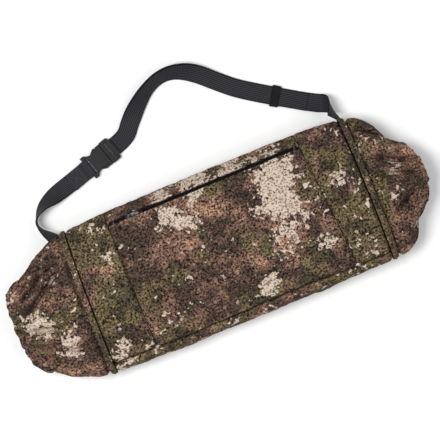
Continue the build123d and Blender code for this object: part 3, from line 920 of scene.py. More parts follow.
# ---------------------------------------------------------------- straps
@dataclass
class Strap:
    """A free length of flat webbing along a smooth route.

    Route points are in millimetres, from the buckle's end. Each has the angle in degrees that
    the webbing banks there, because flat webbing can't turn a corner without lifting an edge.
    """

    name: str
    route: Sequence[tuple[float, float, float]]
    banks: Sequence[float]
    width: float = 25.4
    wall: float = 1.6
    rib_pitch: float = 2.54
    rib_height: float = 0.12
    pick_pitch: float = 3.1
    step: float = 1.4
    across_count: int = 30

    def path(self) -> list[Vector]:
        """Reads the smooth route from its spline.

        Returns:
            The points, in metres.
        """
        curve = bpy.data.curves.new(f"{self.name}_route", "CURVE")
        curve.dimensions = "3D"
        curve.resolution_u = 40
        spline = curve.splines.new("NURBS")
        spline.points.add(len(self.route) - 1)
        for point, place in zip(spline.points, self.route):
            point.co = (*(part * MM for part in place), 1.0)
        spline.order_u = 3
        spline.use_endpoint_u = True
        holder = bpy.data.objects.new(f"{self.name}_route", curve)
        bpy.context.scene.collection.objects.link(holder)
        bpy.context.view_layer.update()
        read = bpy.data.meshes.new_from_object(holder)
        points = [vert.co.copy() for vert in read.vertices]
        bpy.data.meshes.remove(read)
        bpy.data.objects.remove(holder)
        bpy.data.curves.remove(curve)
        return points

    def sections(self, points: Sequence[Vector]) -> tuple[np.ndarray, ...]:
        """Even places along the route with the webbing's own directions there.

        Args:
            points: the smooth route.

        Returns:
            Distances along, centres, across directions and outward directions, one row each.
        """
        line = np.array(points)
        runs = np.linalg.norm(np.diff(line, axis=0), axis=1)
        along = np.concatenate([[0.0], np.cumsum(runs)])
        count = int(along[-1] / (self.step * MM)) + 1
        even = np.linspace(0.0, along[-1], count)
        centres = np.stack([np.interp(even, along, line[:, axis]) for axis in range(3)], axis=1)
        tangents = np.gradient(centres, axis=0)
        tangents /= np.linalg.norm(tangents, axis=1)[:, None]
        chords = np.linalg.norm(np.diff(np.array(self.route), axis=0), axis=1)
        corners = np.concatenate([[0.0], np.cumsum(chords)])
        corners *= along[-1] / corners[-1]
        banks = np.radians(np.interp(even, corners, self.banks))
        kernel = np.hanning(31)
        padded = np.pad(banks, 15, mode="edge")
        banks = np.convolve(padded, kernel / kernel.sum(), mode="valid")
        ups = np.zeros_like(centres)
        up = Vector((0.0, 0.0, 1.0))
        previous = Vector(tangents[0])
        for number, tangent in enumerate(tangents):
            turn = previous.rotation_difference(Vector(tangent))
            up = turn @ up
            up = (up - Vector(tangent) * up.dot(Vector(tangent))).normalized()
            ups[number] = up
            previous = Vector(tangent)
        sides = np.cross(tangents, ups)
        leaned = ups * np.cos(banks)[:, None] + sides * np.sin(banks)[:, None]
        across = np.cross(tangents, leaned)
        return even, centres, across, leaned

    def build(self) -> tuple[bpy.types.Object, list[Vector], float]:
        """Makes the webbing as a closed ribbon with woven ribs.

        Returns:
            The piece, the route's points and the route's length in metres.
        """
        points = self.path()
        even, centres, across, ups = self.sections(points)
        half_width = self.width / 2 * MM
        half_wall = self.wall / 2 * MM
        around = 2 * self.across_count + 4
        last = len(even) - 1

        def flat_share(round_share: np.ndarray) -> np.ndarray:
            """Goes across the top from one edge to the other and back under, -1 to 1."""
            loop = (round_share * 2) % 2
            return np.where(loop <= 1, 1 - 2 * loop, 2 * loop - 3)

        def skin(row: np.ndarray, round_share: np.ndarray) -> np.ndarray:
            """Points of the ribbon's skin.

            Args:
                row: the section that each point is on.
                round_share: how far round the section it is, 0 to 1.

            Returns:
                The points in metres.
            """
            share = flat_share(round_share)
            top = np.where((round_share * 2) % 2 <= 1, 1.0, -1.0)
            rounded = np.sqrt(np.clip(1 - np.clip((np.abs(share) - 0.94) / 0.06, 0, 1) ** 2, 0, 1))
            ribs = 2 * np.pi * share * half_width / (self.rib_pitch * MM)
            rib = self.rib_height * MM * np.sin(ribs)
            picks = 2 * np.pi * even[row] / (self.pick_pitch * MM)
            pick = 0.6 * self.rib_height * MM * np.sin(picks)
            height = (half_wall + (rib + pick) * (np.abs(share) < 0.93)) * rounded * top
            return (
                centres[row] + across[row] * (share * half_width)[:, None] + ups[row] * height[:, None]
            )

        work = shaped_grid((last, around), lambda u, v: skin(np.round(u * last).astype(int), v), True)
        self._close_ends(work)
        piece = finish_mesh(self.name, work)
        self._map(piece, even, centres, across)
        return piece, points, float(even[-1])

    def _close_ends(self, work: bmesh.types.BMesh) -> None:
        """Fills the two cut ends."""
        open_edges = [edge for edge in work.edges if edge.is_boundary]
        bmesh.ops.holes_fill(work, edges=open_edges, sides=0)

    def _map(
        self, piece: bpy.types.Object, even: np.ndarray, centres: np.ndarray, across: np.ndarray
    ) -> None:
        """Lays the piece's map in metres along and across the webbing.

        Args:
            piece: the webbing.
            even: distances along the route.
            centres: the route's points at those distances.
            across: the webbing's directions across, one for each point.
        """
        tree = KDTree(len(centres))
        for number, centre in enumerate(centres):
            tree.insert(centre, number)
        tree.balance()
        layer = piece.data.uv_layers.new(name="webbing")
        places = {}
        for vert in piece.data.vertices:
            _near, number, _gap = tree.find(vert.co)
            side = float(np.dot(np.array(vert.co) - centres[number], across[number]))
            places[vert.index] = (float(even[number]), side)
        for loop in piece.data.loops:
            layer.data[loop.index].uv = places[loop.vertex_index]


# ---------------------------------------------------------------- the muff's form
class MuffForm:
    """The padded tube's outer shape, from one cuff's mouth to the other, taken from the frame.

    The underside is a little boxier than an oval, because the muff lies on it.
    """

    current: "MuffForm"
    under_power: float = 0.86

    def __init__(self) -> None:
        """Reads the frame's sizes and lays out the sections along the muff."""
        back_low, back_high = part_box("back_panel")
        lining_low, lining_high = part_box("lining")
        self.half_width = back_high.y
        self.core_z = (lining_low.z + lining_high.z) / 2
        self.half_height = self.core_z - back_low.z
        self.seam = {
            Side.LEFT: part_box("front_left_panel")[0].x,
            Side.RIGHT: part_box("front_right_panel")[1].x,
        }
        self.mouth = {Side.LEFT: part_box("cuff_left")[0].x, Side.RIGHT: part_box("cuff_right")[1].x}
        self.pocket = (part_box("pocket_panel")[0].x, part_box("pocket_panel")[1].x)
        self.bottom_seam_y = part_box("pocket_panel")[0].y
        coil_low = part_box("zip_coil_lower")
        coil_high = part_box("zip_coil_upper")
        self.zip_y = (coil_low[1].y + coil_high[0].y) / 2
        self.zip_ends = (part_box("zip_tape_upper")[0].x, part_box("zip_tape_upper")[1].x)
        self.tunnel = (lining_high.y - 1.8 * MM, (lining_high.z - lining_low.z) / 2 - 1.8 * MM)
        self._lay_out()
        self.rounds = np.linspace(0.0, 2 * np.pi, 721)
        steps = np.hypot(
            np.diff(self.half_width * np.cos(self.rounds)),
            np.diff(self.half_height * np.sin(self.rounds)),
        )
        self.round_lengths = np.concatenate([[0.0], np.cumsum(steps)])
        MuffForm.current = self

    def _lay_out(self) -> None:
        """Lays out how wide, high and low each section is, from mouth to mouth."""
        left = [
            (0.0, 0.95, 1.0), (0.25, 0.85, 0.93), (0.43, 0.74, 0.84), (0.62, 0.64, 0.74),
            (0.76, 0.575, 0.655), (0.87, 0.54, 0.63), (1.0, 0.45, 0.47),
        ]
        right = [
            (0.0, 0.955, 1.0), (0.3, 0.83, 0.945), (0.53, 0.65, 0.83), (0.69, 0.5, 0.66),
            (0.87, 0.4, 0.56), (1.0, 0.34, 0.47),
        ]
        rows = []
        for side, stations in ((Side.LEFT, left), (Side.RIGHT, right)):
            reach = self.mouth[side] - self.seam[side]
            for share, upper, lower in stations:
                height = float(np.interp(share, [0, 0.42, 0.74, 1], [1, 0.92, 0.83, 0.71]))
                drop = 8.5 * MM * share
                rows.append((self.seam[side] + share * reach, upper, lower, height, drop))
        for share, upper, lower in ((0.15, 0.985, 1.02), (0.5, 1.0, 1.035), (0.85, 0.99, 1.02)):
            x = self.seam[Side.LEFT] + share * (self.seam[Side.RIGHT] - self.seam[Side.LEFT])
            rows.append((x, upper, lower, 1.0, 0.0))
        rows.sort()
        table = np.array(rows)
        self.along = np.linspace(self.mouth[Side.LEFT], self.mouth[Side.RIGHT], 600)
        kernel = np.hanning(23)
        kernel /= kernel.sum()
        smoothed = []
        for column in range(1, 5):
            values = np.interp(self.along, table[:, 0], table[:, column])
            smoothed.append(np.convolve(np.pad(values, 11, mode="edge"), kernel, mode="valid"))
        self.upper, self.lower, self.height, self.drop = smoothed

    def axis_point(self) -> Vector:
        """A point on the muff's own axis."""
        return Vector((0.0, 0.0, self.core_z))

    def angles(self, start: float, end: float, share: np.ndarray) -> np.ndarray:
        """Angles at even distances round the muff between two angles."""
        lengths = np.interp([start, end], self.rounds, self.round_lengths)
        return np.interp(lengths[0] + share * (lengths[1] - lengths[0]), self.round_lengths, self.rounds)

    def angle_of(self, y: np.ndarray, x: np.ndarray) -> np.ndarray:
        """Angle over the pocket's face at which the muff's skin is at y.

        Args:
            y: places across the muff, in metres.
            x: places along it, in metres.

        Returns:
            The angles.
        """
        upper = np.interp(x, self.along, self.upper) * self.half_width
        lower = np.interp(x, self.along, self.lower) * self.half_width
        return np.arccos(np.clip(np.where(y > 0, y / upper, y / lower), -1, 1))

    def lengths_at(self, angle: np.ndarray) -> np.ndarray:
        """Distance round the muff at an angle."""
        return np.interp(angle, self.rounds, self.round_lengths)

    def skin(self, x: np.ndarray, angle: np.ndarray, inset: np.ndarray | float = 0.0) -> np.ndarray:
        """Points of the muff's plain outer skin.

        Args:
            x: places along the muff, in metres.
            angle: angles round it.
            inset: how far inside the skin, in metres.

        Returns:
            The points, one row each.
        """
        upper = np.interp(x, self.along, self.upper) * self.half_width - inset
        lower = np.interp(x, self.along, self.lower) * self.half_width - inset
        height = np.interp(x, self.along, self.height) * self.half_height - inset
        drop = np.interp(x, self.along, self.drop)
        cosine = np.cos(angle)
        sine = np.sin(angle)
        wide = np.where(cosine > 0, upper, lower) * cosine
        under = np.sign(sine) * np.abs(sine) ** self.under_power
        tall = height * np.where(sine > 0, sine, under)
        return np.stack([x, wide, self.core_z - drop + tall], axis=1)

    def outward(self, angle: np.ndarray) -> np.ndarray:
        """Directions away from the muff's axis at each angle.

        Args:
            angle: angles round the muff.

        Returns:
            The directions, one row each.
        """
        across = np.cos(angle) / self.half_width
        up = np.sin(angle) / self.half_height
        size = np.hypot(across, up)
        return np.stack([np.zeros_like(angle), across / size, up / size], axis=1)


def rest_on_floor(places: np.ndarray, lowest: float = 2.4) -> np.ndarray:
    """Flattens what would sink towards the floor.

    Args:
        places: points in metres, one row each.
        lowest: height in millimetres below which points are pressed together.

    Returns:
        The points, none of them below the floor.
    """
    limit = lowest * MM
    pressed = limit - 1.4 * MM * (1 - np.exp(-(limit - places[:, 2]) / (1.4 * MM)))
    settled = places.copy()
    settled[:, 2] = np.where(places[:, 2] < limit, pressed, places[:, 2])
    return settled


# ---------------------------------------------------------------- padding
@dataclass
class Padding:
    """The wadding between the fleece and the lining, swollen by a cloth simulation.

    Seams hold it down, so it swells between them. The panels follow how far it moved.
    """

    form: MuffForm
    inset: float = 4.4
    voxel: float = 6.0
    most: float = 5.0
    pressure: float = 4.0
    frames: int = 20
    starts: np.ndarray = field(init=False)
    moves: np.ndarray = field(init=False)
    tree: KDTree = field(init=False)

    def build(self) -> bpy.types.Object:
        """Makes the wadding, lets it swell and keeps how far each point moved.

        Returns:
            The piece.
        """
        work = self._tube()
        piece = finish_mesh("batting_core", work)
        remesh = piece.modifiers.new("even", "REMESH")
        remesh.mode = "VOXEL"
        remesh.voxel_size = self.voxel * MM
        apply_modifiers(piece)
        self.starts = np.array([vert.co for vert in piece.data.vertices])
        self._swell(piece)
        ends = np.array([vert.co for vert in piece.data.vertices])
        self.moves = ends - self.starts
        far = np.linalg.norm(self.moves, axis=1)
        limit = np.minimum(1.0, self.most * MM / np.maximum(far, 1e-9))
        self.moves *= limit[:, None]
        for vert, start, move in zip(piece.data.vertices, self.starts, self.moves):
            vert.co = start + 0.6 * move
        self.tree = KDTree(len(self.starts))
        for number, start in enumerate(self.starts):
            self.tree.insert(start, number)
        self.tree.balance()
        for face in piece.data.polygons:
            face.use_smooth = True
        dress(piece, Wadding().make())
        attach(piece, Body.MUFF.value)
        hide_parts("batting_front", "batting_back")
        return piece

    def _tube(self) -> bmesh.types.BMesh:
        """A plain thick tube between the cuff seams.

        Returns:
            The mesh work.
        """
        form = self.form
        start = form.seam[Side.LEFT] + 2 * MM
        end = form.seam[Side.RIGHT] - 2 * MM

        def wall(around: np.ndarray, round_share: np.ndarray) -> np.ndarray:
            """Goes along the outside, round the far end, back inside and round the near end.

            Args:
                around: how far round the wall's section, 0 to 1.
                round_share: how far round the muff, 0 to 1.

            Returns:
                The points in metres.
            """
            corner = np.array([0.0, 0.49, 0.5, 0.99, 1.0])
            x = np.interp(around, corner, [start, end, end, start, start])
            depth = np.interp(around, corner, [0.0, 0.0, 1.0, 1.0, 0.0])
            angle = 2 * np.pi * round_share
            outer = form.skin(x, angle, self.inset * MM)
            inner = np.stack(
                [
                    x,
                    (form.tunnel[0] + 3.2 * MM) * np.cos(angle),
                    form.core_z + (form.tunnel[1] + 3.2 * MM) * np.sin(angle),
                ],
                axis=1,
            )
            return rest_on_floor(outer + depth[:, None] * (inner - outer), 4.6)

        return shaped_grid((100, 120), wall, closed=True)

    def _swell(self, piece: bpy.types.Object) -> None:
        """Runs the cloth simulation with the seams held.

        Args:
            piece: the wadding.
        """
        form = self.form
        hold = piece.vertex_groups.new(name="held")
        places = self.starts
        upper = places[:, 2] > form.core_z
        gaps = [
            places[:, 0] - form.seam[Side.LEFT],
            form.seam[Side.RIGHT] - places[:, 0],
            np.where(upper, np.abs(places[:, 0] - form.pocket[0]), 1.0),
            np.where(upper, np.abs(places[:, 0] - form.pocket[1]), 1.0),
            np.where(upper, np.abs(places[:, 1] - form.bottom_seam_y), 1.0),
            np.where(upper, np.abs(places[:, 1] - form.zip_y), 1.0),
        ]
        nearest = np.min(np.abs(np.array(gaps)), axis=0)
        held = 1.0 - smooth_step((nearest - 4.0 * MM) / (12.0 * MM))
        round_tunnel = np.hypot(
            places[:, 1] / (form.tunnel[0] + 6.0 * MM),
            (places[:, 2] - form.core_z) / (form.tunnel[1] + 6.0 * MM),
        )
        held = np.where(round_tunnel < 1.0, 1.0, held)
        held = np.where(places[:, 2] < 6.0 * MM, 1.0, held)
        for number, weight in enumerate(held):
            if weight > 0.01:
                hold.add([number], float(weight), "REPLACE")
        cloth = piece.modifiers.new("swell", "CLOTH")
        settings = cloth.settings
        settings.quality = 5
        settings.mass = 0.3
        settings.tension_stiffness = 12.0
        settings.compression_stiffness = 12.0
        settings.bending_stiffness = 0.4
        settings.use_pressure = True
        settings.uniform_pressure_force = self.pressure
        settings.vertex_group_mass = "held"
        settings.pin_stiffness = 1.0
        settings.shrink_min = -0.045
        settings.effector_weights.gravity = 0.0
        cloth.collision_settings.use_collision = False
        scene = bpy.context.scene
        for number in range(1, self.frames + 1):
            scene.frame_set(number)
        apply_modifiers(piece)

    def move_at(self, places: np.ndarray) -> np.ndarray:
        """How far the wadding moved near each point.

        Args:
            places: points in metres, one row each.

        Returns:
            The moves in metres, one row each.
        """
        moved = np.zeros_like(places)
        for row, place in enumerate(places):
            found = self.tree.find_n(place, 6)
            weights = np.array([1.0 / (gap + 2.0 * MM) ** 2 for _near, _number, gap in found])
            numbers = [number for _near, number, _gap in found]
            moved[row] = (self.moves[numbers] * weights[:, None]).sum(axis=0) / weights.sum()
        return moved


# ---------------------------------------------------------------- fleece panels
@dataclass
class Panel:
    """One cut piece of fleece, with its edges turned down into its seams.

    Edge depths are for the start and end along the muff, then the start and end round it.
    """

    name: str
    node: str
    along: tuple[Callable[[np.ndarray], np.ndarray], Callable[[np.ndarray], np.ndarray]]
    angles: tuple[Callable[[np.ndarray], np.ndarray], Callable[[np.ndarray], np.ndarray]]
    counts: tuple[int, int]
    edge_depths: tuple[float, float, float, float]
    edge_width: float = 2.8
    wall: float = 2.2
    roll: float = 0.0
    roll_place: float = 7.0
    roll_width: float = 5.0
    roll_end: int = 0
    overhang: float = 0.0
    crowding: float = 1.0
    seed: float = 1.0
    puckers: float = 0.9

    def surface(
        self, form: MuffForm, padding: Padding, u: np.ndarray, v: np.ndarray
    ) -> np.ndarray:
        """Points of the panel's outer face.

        Args:
            form: the muff's plain shape.
            padding: the swollen wadding that the panel follows.
            u: shares along the muff, 0 to 1.
            v: shares round it, 0 to 1.

        Returns:
            The points, one row each.
        """
        rough = v**self.crowding
        guess = np.full_like(u, 0.5 * (form.seam[Side.LEFT] + form.seam[Side.RIGHT]))
        for _turn in range(2):
            start = self.angles[0](guess)
            end = self.angles[1](guess)
            first = form.lengths_at(start)
            last = form.lengths_at(end)
            length = first + rough * (last - first)
            y = form.skin(guess, np.interp(length, form.round_lengths, form.rounds))[:, 1]
            low = self.along[0](y)
            high = self.along[1](y)
            guess = low + u * (high - low)
        edges = (
            (high - low) * u / MM,
            (high - low) * (1 - u) / MM,
            (length - first) / MM,
            (last - length) / MM,
        )
        rolled = edges[2 + self.roll_end]
        hump = bell(rolled - self.roll_place, self.roll_width) * smooth_step(rolled / 1.6)
        ends = smooth_step(np.minimum(edges[0], edges[1]) / 8.0)
        way = (-1.0, 1.0)[self.roll_end]
        length = length + way * self.overhang * MM * hump * ends
        angle = np.interp(length, form.round_lengths, form.rounds)
        base = form.skin(guess, angle)
        lift = self.roll * hump
        for distance, depth in zip(edges, self.edge_depths):
            lift = lift - depth * bell(distance, self.edge_width)
        lift += self._ripples(base, edges)
        nearest = np.min(np.array(edges), axis=0)
        lift *= np.where(base[:, 2] < 5.0 * MM, 0.35, 1.0)
        moved = padding.move_at(base) * smooth_step(nearest / 12.0)[:, None]
        return rest_on_floor(base + moved + form.outward(angle) * (lift * MM)[:, None])

    def _ripples(self, base: np.ndarray, edges: Sequence[np.ndarray]) -> np.ndarray:
        """How far the soft cloth's dents, seam puckers and tufts lift it.

        Args:
            base: the panel's points in metres.
            edges: distances from its four edges, in millimetres.

        Returns:
            The lift of each point, in millimetres.
        """
        settled = smooth_step(np.min(np.array(edges), axis=0) / 9.0)
        lift = 1.3 * settled * noise_at(base / MM, 34.0, self.seed)
        lift += 0.6 * settled * noise_at(base / MM, 13.0, self.seed + 5)
        pull = bell(np.minimum(edges[0], edges[1]) - 6.0, 11.0)
        lift += self.puckers * pull * noise_at(base / MM * np.array([0.25, 1, 1]), 9.0, self.seed)
        pull = bell(np.minimum(edges[2], edges[3]) - 5.0, 9.0)
        lift += self.puckers * pull * noise_at(base / MM * np.array([1, 0.25, 0.25]), 10.0, 3.0)
        return lift + 0.34 * noise_at(base / MM, 2.3, self.seed + 9)

    def build(
        self, form: MuffForm, padding: Padding, finish: bpy.types.Material
    ) -> bpy.types.Object:
        """Makes the panel over the swollen padding.

        Args:
            form: the muff's plain shape.
            padding: the swollen wadding that it follows.
            finish: the panel's fleece.

        Returns:
            The piece.
        """
        work = shaped_grid(self.counts, lambda u, v: self.surface(form, padding, u, v))
        piece = finish_mesh(self.name, work, outward=True)
        thicken(piece, self.wall)
        dress(piece, finish)
        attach(piece, Body.MUFF.value)
        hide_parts(self.node)
        return piece


@dataclass
class Shell:
    """The five fleece panels and the lines that they meet on."""

    form: MuffForm
    padding: Padding
    lip_gap: float = 3.5
    panel_cell: float = 1.7

    def cuff_line(self, side: Side) -> Callable[[np.ndarray], np.ndarray]:
        """The cuff seam's place along the muff at each place across it.

        Args:
            side: which cuff.

        Returns:
            A function from places across the muff to places along it.
        """
        start = self.form.seam[side]
        lean = {Side.LEFT: (2.5, 2.5), Side.RIGHT: (1.5, 0.0)}[side]
        return lambda y: start + (lean[0] + lean[1] * y / self.form.half_width) * MM

    def pocket_line(self, number: int) -> Callable[[np.ndarray], np.ndarray]:
        """A pocket side seam's place along the muff at each place across it.

        Args:
            number: 0 for the left seam and 1 for the right.

        Returns:
            A function from places across the muff to places along it.
        """
        start = self.form.pocket[number]
        lean = (0.0, 8.0)[number]
        bow = (0.0, 5.0)[number]
        return lambda y: start + (bow - lean * y / self.form.half_width) * MM

    def lip(self, x: np.ndarray, way: float) -> np.ndarray:
        """The place of a zip lip across the muff.

        Args:
            x: places along the muff, in metres.
            way: 1 for the upper lip and -1 for the lower.

        Returns:
            The places across it.
        """
        inside = np.minimum(x - self.form.zip_ends[0], self.form.zip_ends[1] - x)
        gap = 0.3 + (self.lip_gap - 0.3) * smooth_step((inside + 1.0 * MM) / (5.0 * MM))
        return self.form.zip_y + way * gap * MM

    def cells(self, length: float) -> int:
        """How many grid cells a length in metres takes."""
        return int(length / (self.panel_cell * MM))

    def panels(self) -> list[Panel]:
        """The panels with the lines that bound them.

        Returns:
            The five panels, not built yet.
        """
        form = self.form
        left = self.cuff_line(Side.LEFT)
        right = self.cuff_line(Side.RIGHT)
        pocket_left = self.pocket_line(0)
        pocket_right = self.pocket_line(1)

        def bottom(x: np.ndarray) -> np.ndarray:
            """Angle of the bottom seam."""
            wave = 1.2 * MM * np.sin(x / (41.0 * MM))
            return form.angle_of(form.bottom_seam_y + 0 * x + wave, x)

        def top(x: np.ndarray) -> np.ndarray:
            """Angle of the seam along the zip's edge of the muff."""
            return np.zeros_like(x)

        def turned(x: np.ndarray) -> np.ndarray:
            """Angle of the same seam after a whole turn."""
            return np.full_like(x, 2 * np.pi)

        def upper_lip(x: np.ndarray) -> np.ndarray:
            """Angle of the zip's upper lip."""
            return form.angle_of(self.lip(x, 1.0), x)

        def lower_lip(x: np.ndarray) -> np.ndarray:
            """Angle of the zip's lower lip."""
            return form.angle_of(self.lip(x, -1.0), x)

        seam_angle = form.angle_of(np.array([form.bottom_seam_y]), np.array([0.0]))
        front = form.lengths_at(seam_angle)[0]
        whole = form.round_lengths[-1]
        pocket_wide = form.pocket[1] - form.pocket[0]
        side_left = form.pocket[0] - form.seam[Side.LEFT]
        side_right = form.seam[Side.RIGHT] - form.pocket[1]
        length = form.seam[Side.RIGHT] - form.seam[Side.LEFT]
        return [
            Panel(
                "panel_front_left", "front_left_panel", (left, pocket_left), (top, bottom),
                (self.cells(side_left), self.cells(front)), (3.4, 3.0, 1.6, 3.0), seed=1.0,
            ),
            Panel(
                "panel_front_right", "front_right_panel", (pocket_right, right), (top, bottom),
                (self.cells(side_right), self.cells(front)), (3.0, 3.4, 1.6, 3.0), seed=2.0,
            ),
            Panel(
                "panel_pocket", "pocket_panel", (pocket_left, pocket_right), (lower_lip, bottom),
                (self.cells(pocket_wide), self.cells(front * 0.88)), (3.0, 3.0, 2.4, 3.0),
                roll=4.3, roll_place=2.6, roll_width=2.6, overhang=3.4, crowding=1.25, seed=3.0,
            ),
            Panel(
                "panel_upper_strip", "upper_strip", (pocket_left, pocket_right), (top, upper_lip),
                (self.cells(pocket_wide), 34), (2.4, 2.4, 1.6, 2.4),
                roll=4.8, roll_place=4.6, roll_width=4.2, roll_end=1, overhang=4.2, seed=4.0,
            ),
            Panel(
                "panel_back", "back_panel", (left, right), (bottom, turned),
                (int(self.cells(length) * 0.8), int(self.cells(whole - front) * 0.8)),
                (3.0, 3.0, 3.0, 1.4), roll=2.6, roll_place=7.5, roll_width=6.0, seed=5.0,
            ),
        ]

    def zip_rows(self) -> list[np.ndarray]:
        """Lines of stitches along both lips of the zip, a little way in from each.

        Returns:
            The lines, one point a row, in metres.
        """
        along = np.linspace(0.02, 0.98, 400)
        rows = []
        for panel in self.panels():
            if panel.overhang > 0:
                share = (0.055, 0.62)[panel.roll_end]
                place = np.full_like(along, share)
                rows.append(panel.surface(self.form, self.padding, along, place))
        return rows

    def build(self, prints: dict[str, bpy.types.Material]) -> list[bpy.types.Object]:
        """Makes the five panels.

        Args:
            prints: each panel's fleece, by the panel's name.

        Returns:
            The pieces.
        """
        return [
            panel.build(self.form, self.padding, prints[panel.name]) for panel in self.panels()
        ]


# ---------------------------------------------------------------- cuffs
@dataclass(frozen=True)
class Fold:
    """A fold that runs from the elastic towards the seam, on the pocket's side.

    The path is in millimetres along and across the muff. A negative depth is a ridge. Lean puts
    the fold's raised lip on one side.
    """

    path: tuple[tuple[float, float], ...]
    depth: float
    width: float
    lean: float = 1.0

    def lift(self, flat: np.ndarray) -> np.ndarray:
        """How far the fold moves each point out.

        Args:
            flat: places along and across the muff, in millimetres.

        Returns:
            How far out, in millimetres.
        """
        distance, along = outline_distance(flat, np.array(self.path, float))
        strength = smooth_step(along / 0.3) * (1.0 - 0.55 * smooth_step((along - 0.75) / 0.25))
        valley = -self.depth * bell(distance, self.width)
        lip = 0.75 * self.depth * bell(distance - 1.9 * self.lean * self.width, 1.2 * self.width)
        return (valley + lip) * strength


@dataclass
class Cuff:
    """A gathered cuff: folds drawn in by the elastic, a stitched casing and a scalloped mouth."""

    form: MuffForm
    side: Side
    folds: tuple[Fold, ...]
    seam_line: Callable[[np.ndarray], np.ndarray]
    bulge: float
    casing: float = 25.0
    around_count: int = 300
    along_count: int = 92
    gather_pitch: float = 10.5
    ring_length: float = 470.0
    welt_width: float = 8.2
    lanes: tuple[float, float] = (1.7, 6.4)
    lane_depth: float = 1.3
    seed: float = 11.0

    def place(self, share: np.ndarray, angle: np.ndarray, depth: np.ndarray | float) -> np.ndarray:
        """Points of the cuff between its outer and inner faces.

        Args:
            share: 0 at the seam and 1 at the mouth.
            angle: angles round the muff.
            depth: 0 on the outer face, 1 on the inner face.

        Returns:
            The points, one row each.
        """
        form = self.form
        seam = form.seam[self.side]
        reach = form.mouth[self.side] - seam
        x = seam + share * reach
        lower = np.interp(x, form.along, form.lower) * form.half_width
        upper = np.interp(x, form.along, form.upper) * form.half_width
        wall = np.interp(share, [0.0, 0.42, 0.74, 1.0], [10.5, 8.0, 5.5, 4.2]) * MM
        base = form.skin(x, angle, wall * depth)
        middle = (upper - lower) / 2
        half = (upper + lower) / 2
        end_round = self.bulge * MM * ((base[:, 1] - middle) / half) ** 2
        start = self.seam_line(base[:, 1]) - seam
        base[:, 0] += start * (1 - share)
        base[:, 0] -= self.side.value * end_round * smooth_step((share - 0.35) / 0.65)
        out = form.outward(angle)
        lift = self._lift(share, angle, base) * (1.0 - 0.15 * depth)
        edge = self._scallop(angle) * smooth_step((share - 0.7) / 0.3)
        base[:, 0] += self.side.value * edge * MM
        return rest_on_floor(base + out * (lift * MM)[:, None])

    def _lift(self, share: np.ndarray, angle: np.ndarray, base: np.ndarray) -> np.ndarray:
        """How far gathers, folds and the casing's stitching move the fabric out.

        Args:
            share: 0 at the seam and 1 at the mouth.
            angle: angles round the muff.
            base: the cuff's points in metres.

        Returns:
            How far out, in millimetres.
        """
        length = abs(self.form.mouth[self.side] - self.form.seam[self.side]) / MM
        from_mouth = (1 - share) * length
        flat = base[:, :2] / MM
        front = np.sin(angle) > 0
        mirrored = flat * np.array([1.0, -1.0])
        lift = np.zeros_like(share)
        for fold in self.folds:
            lift += np.where(front, fold.lift(flat), 0.8 * fold.lift(mirrored))
        lift *= smooth_step(np.abs(np.sin(angle)) / 0.25)
        gathers = self._gather(angle, share)
        grow = smooth_step(share / 0.75)
        lift += gathers * (0.7 + 3.4 * grow) * (1 - 0.35 * smooth_step((share - 0.8) / 0.2))
        stitched = bell(from_mouth - self.casing, 2.0)
        lift -= 1.7 * stitched * (0.7 + 0.3 * gathers)
        lift += 1.6 * bell(from_mouth - 0.5 * self.casing, 7.5)
        from_seam = share * length
        lift -= 4.4 * (1 - smooth_step((from_seam - 9.0) / 6.0))
        lift += 3.4 * smooth_step(share / 0.25) * (1 - smooth_step((share - 0.5) / 0.25))
        lift += 1.2 * noise_at(base / MM, 26.0, self.seed) * smooth_step(share / 0.15)
        lift += 0.55 * noise_at(base / MM, 8.0, self.seed + 2)
        lift += 0.32 * noise_at(base / MM, 2.3, self.seed + 4)
        return lift

    def _gather(self, angle: np.ndarray, share: np.ndarray) -> np.ndarray:
        """Uneven gathers round the elastic.

        Args:
            angle: angles round the muff.
            share: 0 at the seam and 1 at the mouth.

        Returns:
            How far each place is raised, between about -1 and 1.
        """
        radius = self.ring_length / (2 * np.pi)
        ring = np.stack([np.cos(angle) * radius, np.sin(angle) * radius, 18.0 * share], axis=1)
        return 1.6 * noise_at(ring, self.gather_pitch * 1.25, self.seed + 7)

    def _scallop(self, angle: np.ndarray) -> np.ndarray:
        """How far the mouth's edge goes in and out between gathers, in millimetres."""
        ring = np.stack([np.cos(angle), np.sin(angle), np.zeros_like(angle)], axis=1) * 60
        return 2.4 * noise_at(ring, 8.5, self.seed + 13)

    def build(self, outside: bpy.types.Material, inside: bpy.types.Material) -> bpy.types.Object:
        """Makes the cuff as one closed wall, lined inside.

        Args:
            outside: the printed fleece.
            inside: the lining fleece.

        Returns:
            The piece.
        """
        turns = np.array([0.0, 0.46, 0.48, 0.5, 0.52, 0.54, 0.985, 1.0])
        shares = np.array([0.0, 0.985, 0.997, 1.0, 0.997, 0.985, 0.0, 0.0])
        depths = np.array([0.0, 0.0, 0.15, 0.5, 0.85, 1.0, 1.0, 0.0])

        def wall(around: np.ndarray, round_share: np.ndarray) -> np.ndarray:
            """Goes out to the mouth, over its edge and back inside.

            Args:
                around: how far along that way, 0 to 1.
                round_share: how far round the muff, 0 to 1.

            Returns:
                The points in metres.
            """
            share = np.interp(around, turns, shares)
            depth = np.interp(around, turns, depths)
            return self.place(share, 2 * np.pi * round_share, depth)

        work = shaped_grid(
            (2 * self.along_count, self.around_count), wall, closed=True, lined=(0.62, 0.99)
        )
        piece = finish_mesh(f"cuff_{self.side.word}_gathered", work)
        dress(piece, outside, inside)
        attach(piece, Body.MUFF.value)
        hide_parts(f"cuff_{self.side.word}")
        return piece

    def build_elastic(self, finish: bpy.types.Material) -> bpy.types.Object:
        """Makes the elastic band that lies inside the casing.

        Args:
            finish: the elastic.

        Returns:
            The piece.
        """
        length = abs(self.form.mouth[self.side] - self.form.seam[self.side]) / MM

